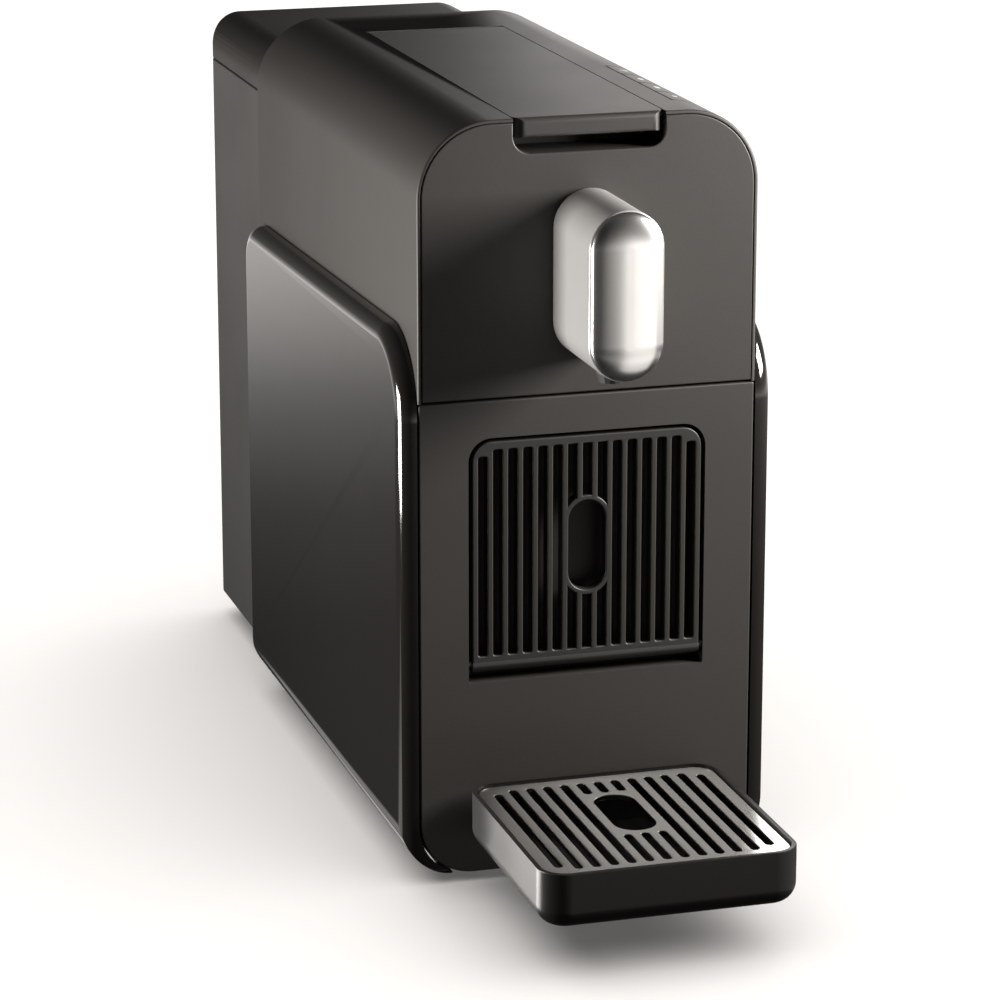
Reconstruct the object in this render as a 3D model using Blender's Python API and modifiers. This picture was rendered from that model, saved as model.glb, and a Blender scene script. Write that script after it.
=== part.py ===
"""Pod coffee machine: a narrow counter-top brewer with a rear water tank, a lift-up lid over the pod
slot, a chromed spout, a fold-down cup shelf and a pull-out drawer that carries the pod bin and drip tray.
Metres, +Z up, the front faces -Y, and the origin is under the middle of the whole machine at floor level.
"""

import math

import bmesh
import bpy
from mathutils import Matrix, Vector

# Whole machine
HEIGHT = 0.2600
SHELL_HALF = 0.0583
PANEL_HALF = 0.0648
SHOULDER_R = 0.0250
FOOT_R = 0.0185
UNDERSIDE = 0.0030
FRONT = -0.1182
SHELL_BACK = 0.1075
SEAM = 0.1674
GAP = 0.0004
WALL = 0.0022
GLAND_PLACE = (-0.0300, 0.0920)
FOOT_PLACES = {
    "foot_front_left": (-0.036, -0.098),
    "foot_front_right": (0.036, -0.098),
    "foot_rear_left": (-0.036, 0.185),
    "foot_rear_right": (0.036, 0.185),
}
PEG_HOLE_R = 0.0028
SOFT_EDGE = 0.00001

# Shell, fascia and lid
SHELL_BOTTOM = 0.0220
EDGE_LIP = 0.0011
FASCIA_THICK = 0.0030
LID_HALF = 0.0256
LID_OPENING_HALF = 0.0260
LID_THICK = 0.0026
LID_LIP_THICK = 0.0065
LID_LIP_DEPTH = 0.0142
LID_AXIS_Y = 0.0662
LID_AXIS_Z = HEIGHT - LID_THICK
NOTCH_FLOOR = 0.2483
NOTCH_CORNER = 0.0060
POCKET_BACK = -0.0995

# Side panels
PANEL_TOP = 0.1900
PANEL_EDGE = 0.0055
PANEL_FRONT_R = 0.0290
PANEL_REAR_R = 0.0180
PANEL_INNER_X = 0.0470
PEG_PLACES = ((-0.080, 0.160), (0.075, 0.160), (0.000, 0.045))

# Buttons on the right shoulder
BUTTON_COUNT = 4
BUTTON_PITCH = 0.0180
BUTTON_FIRST_Y = -0.0898
BUTTON_TILT = math.radians(16.25)
BUTTON_HALF = 0.0056
BUTTON_LENGTH = 0.0174

# Spout
SPOUT_HALF = 0.0125
SPOUT_Z = 0.20825
SPOUT_HALF_HEIGHT = 0.02795
SPOUT_FRONT = -0.1576
SPOUT_WALL = 0.0012
NOZZLE_Y = -0.1420

# Brew unit, on an axis along Y
BREW_Z = 0.2070

# Drawer and cup shelf
DRAWER_HALF = 0.0580
DRAWER_THICK = 0.0040
WINDOW_HALF = 0.0412
WINDOW_LOW = 0.0702
WINDOW_HIGH = 0.1544
WINDOW_R = 0.0080
WINDOW_DEPTH = 0.0088
SHELF_HALF = 0.0398
SHELF_THICK = 0.0050
SHELF_TOP = 0.1530
SHELF_AXIS_Y = -0.1155
SHELF_AXIS_Z = 0.0762
SHELF_SLOTS = 15
SHELF_PITCH = 0.00517
SHELF_SLOT = 0.0032
SHELF_SLOT_LOW = 0.0792
SHELF_SLOT_HIGH = 0.1502
OVAL_HALF = 0.0066
OVAL_HALF_HEIGHT = 0.0156
OVAL_RING = 0.0017
OVAL_Z = 0.1150

# Drip tray
TRAY_HALF = 0.0436
TRAY_FRONT = -0.2122
TRAY_BACK = -0.1222
TRAY_LOW = 0.0171
TRAY_TOP = 0.0363
TRAY_R = 0.0095
TRAY_RIM = 0.0016
GRID_SLOTS = 13
GRID_PITCH = 0.00593
GRID_SLOT = 0.0027
GRID_LEVEL = 0.0335

# Water tank
TANK_HALF = 0.0544
TANK_FRONT = 0.1086
TANK_BACK = 0.2122
TANK_LOW = 0.0100
TANK_TOP = 0.2310
TANK_LID_TOP = 0.2475
TANK_LID_R = 0.0140
TANK_WALL = 0.0020
VALVE_Y = 0.1500

COLOURS = {
    "matte_black": ((0.045, 0.041, 0.036), 0.55, 0.0),
    "gloss_black": ((0.012, 0.011, 0.010), 0.12, 0.0),
    "dark_inside": ((0.020, 0.020, 0.020), 0.60, 0.0),
    "chrome": ((0.80, 0.80, 0.80), 0.08, 1.0),
    "satin_steel": ((0.55, 0.54, 0.52), 0.30, 1.0),
    "aluminium": ((0.60, 0.60, 0.60), 0.40, 1.0),
    "brass": ((0.60, 0.45, 0.20), 0.35, 1.0),
    "rubber": ((0.015, 0.015, 0.015), 0.85, 0.0),
    "silicone": ((0.65, 0.65, 0.62), 0.50, 0.0),
    "board_green": ((0.02, 0.12, 0.05), 0.45, 0.0),
    "smoke_plastic": ((0.060, 0.057, 0.052), 0.40, 0.0),
}


def clear_scene():
    for obj in list(bpy.data.objects):
        bpy.data.objects.remove(obj, do_unlink=True)


def new_collection(name):
    collection = bpy.data.collections.new(name)
    bpy.context.scene.collection.children.link(collection)
    return collection


clear_scene()
PARTS = new_collection("pod_coffee_machine")
CUTTERS = new_collection("cutters")


def finish_of(piece_name, kind):
    """A Principled material of the piece's own, in one of the machine's finishes."""
    colour, roughness, metallic = COLOURS[kind]
    material = bpy.data.materials.new(piece_name + "_" + kind)
    material.use_nodes = True
    shader = material.node_tree.nodes["Principled BSDF"]
    shader.inputs["Base Color"].default_value = (*colour, 1.0)
    shader.inputs["Roughness"].default_value = roughness
    shader.inputs["Metallic"].default_value = metallic
    return material


def arc(centre, radius, start, end, steps):
    """Points on a circle from one angle to another, in degrees, both ends included."""
    points = []
    for step in range(steps + 1):
        angle = math.radians(start + (end - start) * step / steps)
        points.append((centre[0] + radius * math.cos(angle), centre[1] + radius * math.sin(angle)))
    return points


def rounded(low, high, radii, steps=5):
    """A box outline whose corners are arcs, anticlockwise from the lower left corner."""
    (u0, v0), (u1, v1) = low, high
    if not isinstance(radii, tuple):
        radii = (radii,) * 4
    corners = ((u0, v0, 1, 1, 180), (u1, v0, -1, 1, 270), (u1, v1, -1, -1, 0), (u0, v1, 1, -1, 90))
    points = []
    for (u, v, su, sv, start), radius in zip(corners, radii):
        if radius <= 0:
            points.append((u, v))
        else:
            points += arc((u + su * radius, v + sv * radius), radius, start, start + 90, steps)
    return points


def circle(centre, radius, steps=16):
    return arc(centre, radius, 0, 360, steps)[:-1]


def stadium(centre, half_u, half_v, steps=8):
    """An upright slot with round ends."""
    u, v = centre
    rise = half_v - half_u
    return arc((u, v + rise), half_u, 0, 180, steps) + arc((u, v - rise), half_u, 180, 360, steps)


# Turns that bring a flat outline's normal, or a lathe's axis, onto each axis
TURN = {
    "x": Matrix(((0, 0, 1), (1, 0, 0), (0, 1, 0))).to_4x4(),
    "y": Matrix(((1, 0, 0), (0, 0, -1), (0, 1, 0))).to_4x4(),
    "z": Matrix.Identity(4),
}
LEAN = {
    "x": Matrix.Rotation(math.pi / 2, 4, "Y"),
    "y": Matrix.Rotation(-math.pi / 2, 4, "X"),
    "z": Matrix.Identity(4),
}


def as_mesh(obj):
    """Swaps a curve object for the mesh that it draws, welded and in world space."""
    bpy.context.view_layer.update()
    evaluated = obj.evaluated_get(bpy.context.evaluated_depsgraph_get())
    mesh = bpy.data.meshes.new_from_object(evaluated)
    mesh.transform(obj.matrix_world)
    welded = bmesh.new()
    welded.from_mesh(mesh)
    bmesh.ops.remove_doubles(welded, verts=welded.verts, dist=1e-6)
    flat = [edge for edge in welded.edges if edge.is_manifold and edge.calc_face_angle() < 0.001]
    bmesh.ops.dissolve_edges(welded, edges=flat, use_verts=False)
    bmesh.ops.recalc_face_normals(welded, faces=welded.faces)
    welded.to_mesh(mesh)
    welded.free()
    name = obj.name
    collection = obj.users_collection[0]
    bpy.data.objects.remove(obj, do_unlink=True)
    made = bpy.data.objects.new(name, mesh)
    collection.objects.link(made)
    return made


def slab(name, outlines, axis, low, high):
    """An outline with its holes, drawn on the two other axes and extruded along this one."""
    curve = bpy.data.curves.new(name, "CURVE")
    curve.dimensions = "2D"
    curve.fill_mode = "BOTH"
    curve.extrude = (high - low) / 2
    if isinstance(outlines[0][0], float):
        outlines = [outlines]
    for outline in outlines:
        spline = curve.splines.new("POLY")
        spline.points.add(len(outline) - 1)
        spline.use_cyclic_u = True
        for point, (u, v) in zip(spline.points, outline):
            point.co = (u, v, 0, 1)
    obj = bpy.data.objects.new(name, curve)
    PARTS.objects.link(obj)
    middle = Vector((axis == "x", axis == "y", axis == "z")) * (low + high) / 2
    obj.matrix_world = Matrix.Translation(middle) @ TURN[axis]
    return as_mesh(obj)


def block(name, low, high):
    """A plain box between two corners."""
    size = Vector(high) - Vector(low)
    centre = (Vector(high) + Vector(low)) / 2
    mesh = bpy.data.meshes.new(name)
    shape = bmesh.new()
    place = Matrix.Translation(centre) @ Matrix.Diagonal((*size, 1))
    bmesh.ops.create_cube(shape, size=1, matrix=place)
    shape.to_mesh(mesh)
    shape.free()
    obj = bpy.data.objects.new(name, mesh)
    PARTS.objects.link(obj)
    return obj


def turned(name, profile, place, axis="z", steps=20):
    """A lathe shape: radius and height pairs running down the outer side, spun about an axis at place."""
    mesh = bpy.data.meshes.new(name)
    closed = profile[0][0] > 0
    points = [(radius, 0, height) for radius, height in profile]
    edges = [(i, i + 1) for i in range(len(points) - 1)]
    if closed:
        edges.append((len(points) - 1, 0))
    mesh.from_pydata(points, edges, [])
    obj = bpy.data.objects.new(name, mesh)
    PARTS.objects.link(obj)
    spin = obj.modifiers.new("spin", "SCREW")
    spin.steps = steps
    spin.render_steps = steps
    spin.use_merge_vertices = True
    spin.merge_threshold = 0.00001
    obj.matrix_world = Matrix.Translation(place) @ LEAN[axis]
    return as_mesh(obj)


def cylinder(name, centre, radius, length, axis, steps=16):
    half = length / 2
    return turned(name, [(0, half), (radius, half), (radius, -half), (0, -half)], centre, axis, steps)


def tube(name, points, radius):
    """A round bar or hose through a smooth run of points."""
    curve = bpy.data.curves.new(name, "CURVE")
    curve.dimensions = "3D"
    curve.bevel_depth = radius
    curve.bevel_resolution = 1
    curve.use_fill_caps = True
    spline = curve.splines.new("POLY")
    spline.points.add(len(points) - 1)
    for point, place in zip(spline.points, points):
        point.co = (*place, 1)
    obj = bpy.data.objects.new(name, curve)
    PARTS.objects.link(obj)
    return as_mesh(obj)


def smooth_run(knots, per_knot=4):
    """Points on a Catmull-Rom curve through the knots."""
    ends = [2 * Vector(knots[0]) - Vector(knots[1])] + [Vector(k) for k in knots]
    ends.append(2 * Vector(knots[-1]) - Vector(knots[-2]))
    points = []
    for a, b, c, d in zip(ends, ends[1:], ends[2:], ends[3:]):
        for step in range(per_knot):
            t = step / per_knot
            points.append(0.5 * (2 * b + (c - a) * t + (2 * a - 5 * b + 4 * c - d) * t ** 2
                                 + (3 * b - a - 3 * c + d) * t ** 3))
    return points + [Vector(knots[-1])]


def combine(obj, other, operation="DIFFERENCE"):
    """Cuts or joins with another mesh, which becomes a hidden helper."""
    for owner in list(other.users_collection):
        owner.objects.unlink(other)
    CUTTERS.objects.link(other)
    other.name = obj.name + "_tool_" + str(len(obj.modifiers))
    other.hide_render = True
    other.display_type = "WIRE"
    boolean = obj.modifiers.new(operation.lower(), "BOOLEAN")
    boolean.operation = operation
    boolean.solver = "EXACT"
    boolean.object = other
    return obj


def round_edges(obj, wanted, width, segments):
    """Rounds the edges whose two ends both satisfy the test."""
    shape = bmesh.new()
    shape.from_mesh(obj.data)
    chosen = [e for e in shape.edges if wanted(e.verts[0].co) and wanted(e.verts[1].co)
              and e.is_manifold and e.calc_face_angle() > math.radians(50)]
    bmesh.ops.bevel(shape, geom=chosen, offset=width, segments=segments, profile=0.5, affect="EDGES")
    shape.to_mesh(obj.data)
    shape.free()
    return obj


def dress(obj, kind, parent=None):
    """Gives a finished piece its material, its shading and the empty that it moves with."""
    obj.data.materials.clear()
    obj.data.materials.append(finish_of(obj.name, kind))
    obj.data.shade_smooth()
    obj.data.set_sharp_from_angle(angle=math.radians(35))
    if parent:
        obj.parent = parent
        obj.matrix_parent_inverse = parent.matrix_world.inverted()
    return obj


def joint_empty(name, place, parent=None):
    """An empty on a joint's axis."""
    empty = bpy.data.objects.new(name, None)
    PARTS.objects.link(empty)
    empty.empty_display_size = 0.01
    if parent:
        empty.parent = parent
        empty.matrix_parent_inverse = parent.matrix_world.inverted()
    empty.location = place
    bpy.context.view_layer.update()
    return empty


def arch(half, low, top, radius, steps=6):
    """The body's cross-section above a level: straight sides and round shoulders."""
    points = [(-half, low), (half, low)]
    points += arc((half - radius, top - radius), radius, 0, 90, steps)
    points += arc((radius - half, top - radius), radius, 90, 180, steps)
    return points


def band(outer, inner):
    """A strip between two open runs of points that start and end side by side."""
    return outer + inner[::-1]


# ---- fixed body -------------------------------------------------------------------------------


def make_chassis_base():
    centre = (SHELL_HALF - FOOT_R, UNDERSIDE + FOOT_R)
    low = SHELL_BOTTOM - GAP
    outer = [(-SHELL_HALF, low)] + arc((-centre[0], centre[1]), FOOT_R, 180, 270, 6)
    outer += arc(centre, FOOT_R, 270, 360, 6) + [(SHELL_HALF, low)]
    inner = [(WALL - SHELL_HALF, low)] + arc((-centre[0], centre[1]), FOOT_R - WALL, 180, 270, 6)
    inner += arc(centre, FOOT_R - WALL, 270, 360, 6) + [(SHELL_HALF - WALL, low)]
    base = slab("chassis_base", band(outer, inner), "y", FRONT + DRAWER_THICK + GAP, SHELL_BACK - 0.0003)
    for side in (-1, 1):
        combine(base, cylinder("hole", (side * 0.036, -0.098, 0.004), PEG_HOLE_R, 0.006, "z"))
        rail = block("rail", (side * 0.0425 - 0.0025, -0.108, 0.0045), (side * 0.0425 + 0.0025, -0.006, 0.0212))
        combine(base, rail, "UNION")
    combine(base, cylinder("gland_hole", (*GLAND_PLACE, 0.004), 0.0046, 0.006, "z"))
    for row in range(5):
        y = 0.010 + row * 0.018
        combine(base, slab("vent", rounded((0.016, y), (0.040, y + 0.006), 0.0029, 3), "z", 0.001, 0.008))
    dress(base, "matte_black")


def make_main_shell():
    outer = arch(SHELL_HALF, SHELL_BOTTOM, HEIGHT, SHOULDER_R, 8)
    inner = arch(SHELL_HALF - WALL, SHELL_BOTTOM, HEIGHT - WALL, SHOULDER_R - WALL, 8)
    outer = outer[1:] + outer[:1]
    inner = inner[1:] + inner[:1]
    shell = slab("main_shell", band(outer, inner), "y", FRONT, SHELL_BACK)
    for side in (-1, 1):
        lug = block("lug", (side * 0.0281 - 0.0021, 0.0625, 0.2535), (side * 0.0281 + 0.0021, 0.0700, 0.2585))
        combine(shell, lug, "UNION")
    rebate = arch(SHELL_HALF - EDGE_LIP, SEAM, HEIGHT - EDGE_LIP, SHOULDER_R - EDGE_LIP, 8)
    combine(shell, slab("rebate", rebate, "y", FRONT - 0.001, FRONT + FASCIA_THICK + 0.0005))
    combine(shell, block("step", (-0.07, FRONT - 0.001, 0.0), (0.07, FRONT + DRAWER_THICK + GAP, SEAM)))
    combine(shell, block("lid_opening", (-LID_OPENING_HALF, FRONT - 0.001, 0.250),
                         (LID_OPENING_HALF, LID_AXIS_Y + LID_THICK + 0.0003, 0.262)))
    combine(shell, button_frame_block("window", BUTTON_HALF + 0.00035, 0.0180, 0.0280,
                                      (BUTTON_FIRST_Y - 0.00905, BUTTON_FIRST_Y + 0.06305)))
    combine(shell, cylinder("pin_bore", (0, LID_AXIS_Y, LID_AXIS_Z), 0.0014, 0.0580, "x", 12))
    for side in (-1, 1):
        for y, z in PEG_PLACES:
            combine(shell, cylinder("peg_hole", (side * 0.0572, y, z), 0.0029, 0.006, "x", 12))
    dress(shell, "matte_black")


def shoulder_point(across, out):
    """From the button row's own frame, across the shoulder and out from its centre, to X and Z."""
    centre = (SHELL_HALF - SHOULDER_R, HEIGHT - SHOULDER_R)
    return (centre[0] + across * math.cos(BUTTON_TILT) + out * math.sin(BUTTON_TILT),
            centre[1] - across * math.sin(BUTTON_TILT) + out * math.cos(BUTTON_TILT))


def button_frame_block(name, half, low, high, span):
    outline = [shoulder_point(*corner) for corner in ((-half, low), (half, low), (half, high), (-half, high))]
    return slab(name, outline, "y", *span)


def make_side_panel(name, side):
    radii = (0.002, PANEL_REAR_R, PANEL_REAR_R, PANEL_FRONT_R)
    outline = rounded((FRONT, UNDERSIDE), (SHELL_BACK - 0.0005, PANEL_TOP), radii, 6)
    panel = slab(name, outline, "x", *sorted((side * PANEL_INNER_X, side * PANEL_HALF)))
    round_edges(panel, lambda co: abs(abs(co.x) - PANEL_HALF) < SOFT_EDGE, PANEL_EDGE, 3)
    keep = rounded((-PANEL_HALF, UNDERSIDE + 0.0001), (PANEL_HALF, 0.30), (0.020, 0.020, 0.0, 0.0), 7)
    combine(panel, slab("profile", keep, "y", -0.2, 0.2), "INTERSECT")
    body = rounded((-SHELL_HALF - 0.0003, UNDERSIDE - 0.0003), (SHELL_HALF + 0.0003, 0.30),
                   (FOOT_R, FOOT_R, 0.0, 0.0), 6)
    combine(panel, slab("body", body, "y", -0.2, 0.2))
    for y, z in PEG_PLACES:
        combine(panel, cylinder("peg", (side * 0.0580, y, z), 0.0025, 0.0070, "x", 12), "UNION")
    dress(panel, "gloss_black")


def make_front_fascia():
    outline = arch(SHELL_HALF - EDGE_LIP - 0.0003, SEAM + GAP, HEIGHT - EDGE_LIP - 0.0003,
                   SHOULDER_R - EDGE_LIP - 0.0003, 8)
    fascia = slab("front_fascia", [outline, circle((0.0, BREW_Z), 0.0050)], "y", FRONT, FRONT + FASCIA_THICK)
    pocket_low = (-0.0275, FRONT + 0.002, NOTCH_FLOOR - 0.0015)
    pocket_high = (0.0275, POCKET_BACK + 0.0015, 0.2565)
    pocket = block("pocket", pocket_low, pocket_high)
    combine(fascia, pocket, "UNION")
    notch = rounded((-LID_OPENING_HALF, NOTCH_FLOOR), (LID_OPENING_HALF, 0.262),
                    (NOTCH_CORNER, NOTCH_CORNER, 0, 0))
    combine(fascia, slab("notch", notch, "y", FRONT - 0.001, POCKET_BACK))
    dress(fascia, "matte_black")


def make_pod_chute():
    """The deck under the lid, with the slot that a pod drops into."""
    deck = block("pod_chute", (-0.0279, POCKET_BACK + 0.0019, 0.2488), (0.0279, 0.0600, 0.2570))
    combine(deck, block("funnel", (-0.0215, -0.0835, 0.2320), (0.0215, -0.0480, 0.2500)), "UNION")
    combine(deck, block("tub", (-0.0262, POCKET_BACK + 0.0034, 0.2506), (0.0262, 0.0585, 0.2600)))
    slot = rounded((-0.0200, -0.0805), (0.0200, -0.0510), 0.0060, 4)
    combine(deck, slab("slot", slot, "z", 0.2300, 0.2600))
    combine(deck, slab("cam_slot", rounded((-0.0045, 0.0040), (0.0045, 0.0520), 0.002, 3), "z", 0.2450, 0.2600))
    dress(deck, "dark_inside")


def make_brew_unit(lid_axis, piston_slide):
    frame = block("brew_frame", (-0.0270, FRONT + FASCIA_THICK + 0.0006, 0.1830), (0.0270, 0.0360, 0.2300))
    combine(frame, block("bay", (-0.0245, -0.1110, 0.1700), (0.0245, 0.0320, 0.2400)))
    combine(frame, cylinder("outlet", (0, -0.113, BREW_Z), 0.0050, 0.010, "y"))
    combine(frame, cylinder("rod_hole", (0, 0.034, BREW_Z), 0.0068, 0.010, "y"))
    dress(frame, "dark_inside")

    cup = [(0.0210, 0.0150), (0.0210, -0.0150), (0.0038, -0.0150), (0.0038, -0.0090), (0.0175, -0.0090),
           (0.0175, 0.0150)]
    dress(turned("brew_chamber", cup, (0, -0.0957, BREW_Z), "y", 24), "aluminium")

    stem = [(0, 0.0960), (0.0060, 0.0960), (0.0060, -0.0160), (0.0165, -0.0160), (0.0165, -0.0290),
            (0.0140, -0.0290), (0.0140, -0.0330), (0.0165, -0.0330), (0.0165, -0.0360), (0, -0.0360)]
    dress(turned("brew_piston", stem, (0, -0.0520, BREW_Z), "y", 20), "aluminium", piston_slide)
    ring = [(0.0170, 0.0017), (0.0170, -0.0017), (0.0146, -0.0017), (0.0146, 0.0017)]
    dress(turned("piston_seal", ring, (0, -0.0830, BREW_Z), "y", 24), "silicone", piston_slide)

    cam_outline = [(0.006, 0.2571), (0.010, 0.2480), (0.019, 0.2260), (0.027, 0.2260), (0.033, 0.2400),
                   (0.044, 0.2571)]
    dress(slab("lid_cam", cam_outline, "x", -0.0025, 0.0025), "dark_inside", lid_axis)


def make_lid(lid_axis):
    lip = HEIGHT - LID_LIP_THICK
    back = FRONT + LID_LIP_DEPTH
    profile = [(FRONT, lip + 0.0012), (FRONT + 0.0012, lip), (back, lip), (back + 0.0030, LID_AXIS_Z)]
    profile += arc((LID_AXIS_Y, LID_AXIS_Z), LID_THICK, 180, 450, 9)
    profile += arc((FRONT + 0.0020, HEIGHT - 0.0020), 0.0020, 90, 180, 3)
    lid = slab("lid", [profile, circle((LID_AXIS_Y, LID_AXIS_Z), 0.0014, 12)], "x", -LID_HALF, LID_HALF)
    plan = rounded((-LID_HALF - SOFT_EDGE, FRONT - SOFT_EDGE), (LID_HALF + SOFT_EDGE, 0.08),
                   (0.005, 0.005, 0, 0), 4)
    combine(lid, slab("plan", plan, "z", 0.24, 0.28), "INTERSECT")
    dress(lid, "matte_black", lid_axis)
    dress(cylinder("lid_pin", (0, LID_AXIS_Y, LID_AXIS_Z), 0.0010, 0.0572, "x", 12), "satin_steel")


def make_buttons():
    """Four keys that follow the shoulder, and the board with a switch under each."""
    x, z = shoulder_point(0, SHOULDER_R)
    for number in range(BUTTON_COUNT):
        y = BUTTON_FIRST_Y + number * BUTTON_PITCH
        axis = joint_empty("button_%d_slide" % (number + 1), (x, y, z))
        outline = [(-BUTTON_HALF, 0.0212), (-0.0068, 0.0212), (-0.0068, 0.0199), (0.0068, 0.0199),
                   (0.0068, 0.0212), (BUTTON_HALF, 0.0212)]
        for step in range(7):
            across = BUTTON_HALF * (1 - step / 3)
            outline.append((across, math.sqrt(SHOULDER_R ** 2 - across ** 2)))
        points = [shoulder_point(*pair) for pair in outline]
        key = slab("button_%d" % (number + 1), points, "y", y - BUTTON_LENGTH / 2, y + BUTTON_LENGTH / 2)
        stem = button_frame_block("stem", 0.0015, 0.0169, 0.0205, (y - 0.0015, y + 0.0015))
        combine(key, stem, "UNION")
        dress(key, "matte_black", axis)
    board_corners = ((-0.007, 0.012), (0.009, 0.012), (0.009, 0.0136), (-0.007, 0.0136))
    board_outline = [shoulder_point(*p) for p in board_corners]
    board = slab("button_board", board_outline, "y", -0.101, -0.025)
    for number in range(BUTTON_COUNT):
        y = BUTTON_FIRST_Y + number * BUTTON_PITCH
        combine(board, button_frame_block("switch", 0.003, 0.0130, 0.0156, (y - 0.003, y + 0.003)), "UNION")
    dress(board, "board_green")


def make_spout():
    centre = (0.0, SPOUT_Z)
    outer = stadium(centre, SPOUT_HALF, SPOUT_HALF_HEIGHT, 10)
    inner = stadium(centre, SPOUT_HALF - SPOUT_WALL, SPOUT_HALF_HEIGHT - SPOUT_WALL, 10)
    housing = slab("spout_housing", [outer, inner], "y", SPOUT_FRONT, FRONT - 0.0003)
    combine(housing, cylinder("nozzle_hole", (0, NOZZLE_Y, 0.182), 0.0056, 0.012, "z"))
    dress(housing, "chrome")

    fit = SPOUT_WALL + 0.0003
    cap_outline = stadium(centre, SPOUT_HALF - fit, SPOUT_HALF_HEIGHT - fit, 10)
    cap = slab("spout_cap", cap_outline, "y", SPOUT_FRONT - 0.0008, SPOUT_FRONT + 0.0032)
    round_edges(cap, lambda co: co.y < SPOUT_FRONT, 0.0015, 2)
    dress(cap, "chrome")

    nozzle = [(0.0050, 0.0080), (0.0050, -0.0050), (0.0042, -0.0080), (0.0024, -0.0080), (0.0024, 0.0080)]
    dress(turned("spout_nozzle", nozzle, (0, NOZZLE_Y, 0.1850), "z", 16), "dark_inside")
    run = smooth_run([(0, -0.1100, BREW_Z), (0, -0.1250, BREW_Z), (0, -0.1380, 0.2040), (0, NOZZLE_Y, 0.1985),
                      (0, NOZZLE_Y, 0.1936)], 3)
    dress(tube("outlet_tube", run, 0.0030), "silicone")


def make_rear_cover():
    outline = rounded((-0.0557, 0.0120), (0.0557, 0.2574), (0.0159, 0.0159, 0.0224, 0.0224), 6)
    holes = [circle((0.046 * sx, z), 0.0016, 10) for sx in (-1, 1) for z in (0.045, 0.225)]
    for row in range(6):
        z = 0.150 + row * 0.009
        holes.append(rounded((-0.030, z), (0.030, z + 0.004), 0.0019, 3))
    cover = slab("rear_cover", [outline] + holes, "y", SHELL_BACK - 0.0026, SHELL_BACK - 0.0004)
    dress(cover, "matte_black")
    for number, (sx, z) in enumerate([(-1, 0.045), (1, 0.045), (-1, 0.225), (1, 0.225)]):
        screw = [(0, 0.0008), (0.0028, 0.0008), (0.0028, 0.0), (0.0012, 0.0), (0.0012, -0.0080), (0, -0.0080)]
        piece = turned("cover_screw_%d" % (number + 1), screw, (0.046 * sx, SHELL_BACK - 0.0001, z), "y", 10)
        dress(piece, "satin_steel")
    gland = [(0.0064, 0.0046), (0.0064, 0.0026), (0.0042, 0.0026), (0.0042, 0.0),
             (0.0028, 0.0), (0.0028, 0.0046)]
    dress(turned("cord_gland", gland, (*GLAND_PLACE, UNDERSIDE), "z", 16), "rubber")


# ---- water circuit ----------------------------------------------------------------------------


def make_pump():
    x, z = -0.022, 0.044
    steps = [(0, 0.0940), (0.0035, 0.0940), (0.0035, 0.0840), (0.0115, 0.0840), (0.0115, 0.0620),
             (0.0170, 0.0620), (0.0170, 0.0200), (0.0080, 0.0200), (0.0080, 0.0100),
             (0.0035, 0.0100), (0.0035, 0.0070), (0, 0.0070)]
    dress(turned("pump", steps, (x, 0, z), "y", 20), "aluminium")
    mounts = (("pump_mount_front", 0.0105, 0.0175, 0.0084), ("pump_mount_rear", 0.0650, 0.0730, 0.0119))
    for name, y0, y1, radius in mounts:
        outline = rounded((x - 0.017, 0.0056), (x + 0.017, 0.0620), (0.001, 0.001, 0.008, 0.008), 3)
        dress(slab(name, [outline, circle((x, z), radius, 20)], "y", y0, y1), "rubber")


def make_heater():
    fins = [(0.006, 0.092)]
    for fin in range(6):
        low = 0.092 + fin * 0.010
        fins += [(0.044, low), (0.044, low + 0.004), (0.036, low + 0.004), (0.036, low + 0.010)]
    fins = fins[:-2] + [(0.006, 0.146)]
    dress(slab("thermoblock", fins, "y", 0.0400, 0.0960), "aluminium")
    stand = [(0.010, 0.0056), (0.040, 0.0056), (0.040, 0.0080), (0.0128, 0.0080),
             (0.0128, 0.0890), (0.034, 0.0890),
             (0.034, 0.0914), (0.010, 0.0914)]
    dress(slab("heater_bracket", stand, "y", 0.0500, 0.0860), "satin_steel")
    meter = [(0, 0.0100), (0.0040, 0.0100), (0.0040, 0.0050), (0.0120, 0.0050), (0.0120, -0.0060), (0, -0.0060)]
    dress(turned("flow_meter", meter, (0.030, 0.0250, 0.0700), "z", 16), "smoke_plastic")


def make_main_board():
    board = block("main_board", (-0.0480, 0.0150, 0.0900), (-0.0464, 0.0900, 0.1650))
    for y, z in ((0.020, 0.096), (0.085, 0.096), (0.020, 0.159), (0.085, 0.159)):
        combine(board, cylinder("standoff", (-0.0517, y, z), 0.0020, 0.0080, "x", 10), "UNION")
    combine(board, block("transformer", (-0.0470, 0.0250, 0.1000), (-0.0300, 0.0500, 0.1250)), "UNION")
    combine(board, block("relay", (-0.0470, 0.0600, 0.1050), (-0.0350, 0.0760, 0.1250)), "UNION")
    combine(board, block("connector", (-0.0470, 0.0350, 0.1500), (-0.0400, 0.0700, 0.1560)), "UNION")
    dress(board, "board_green")


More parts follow.
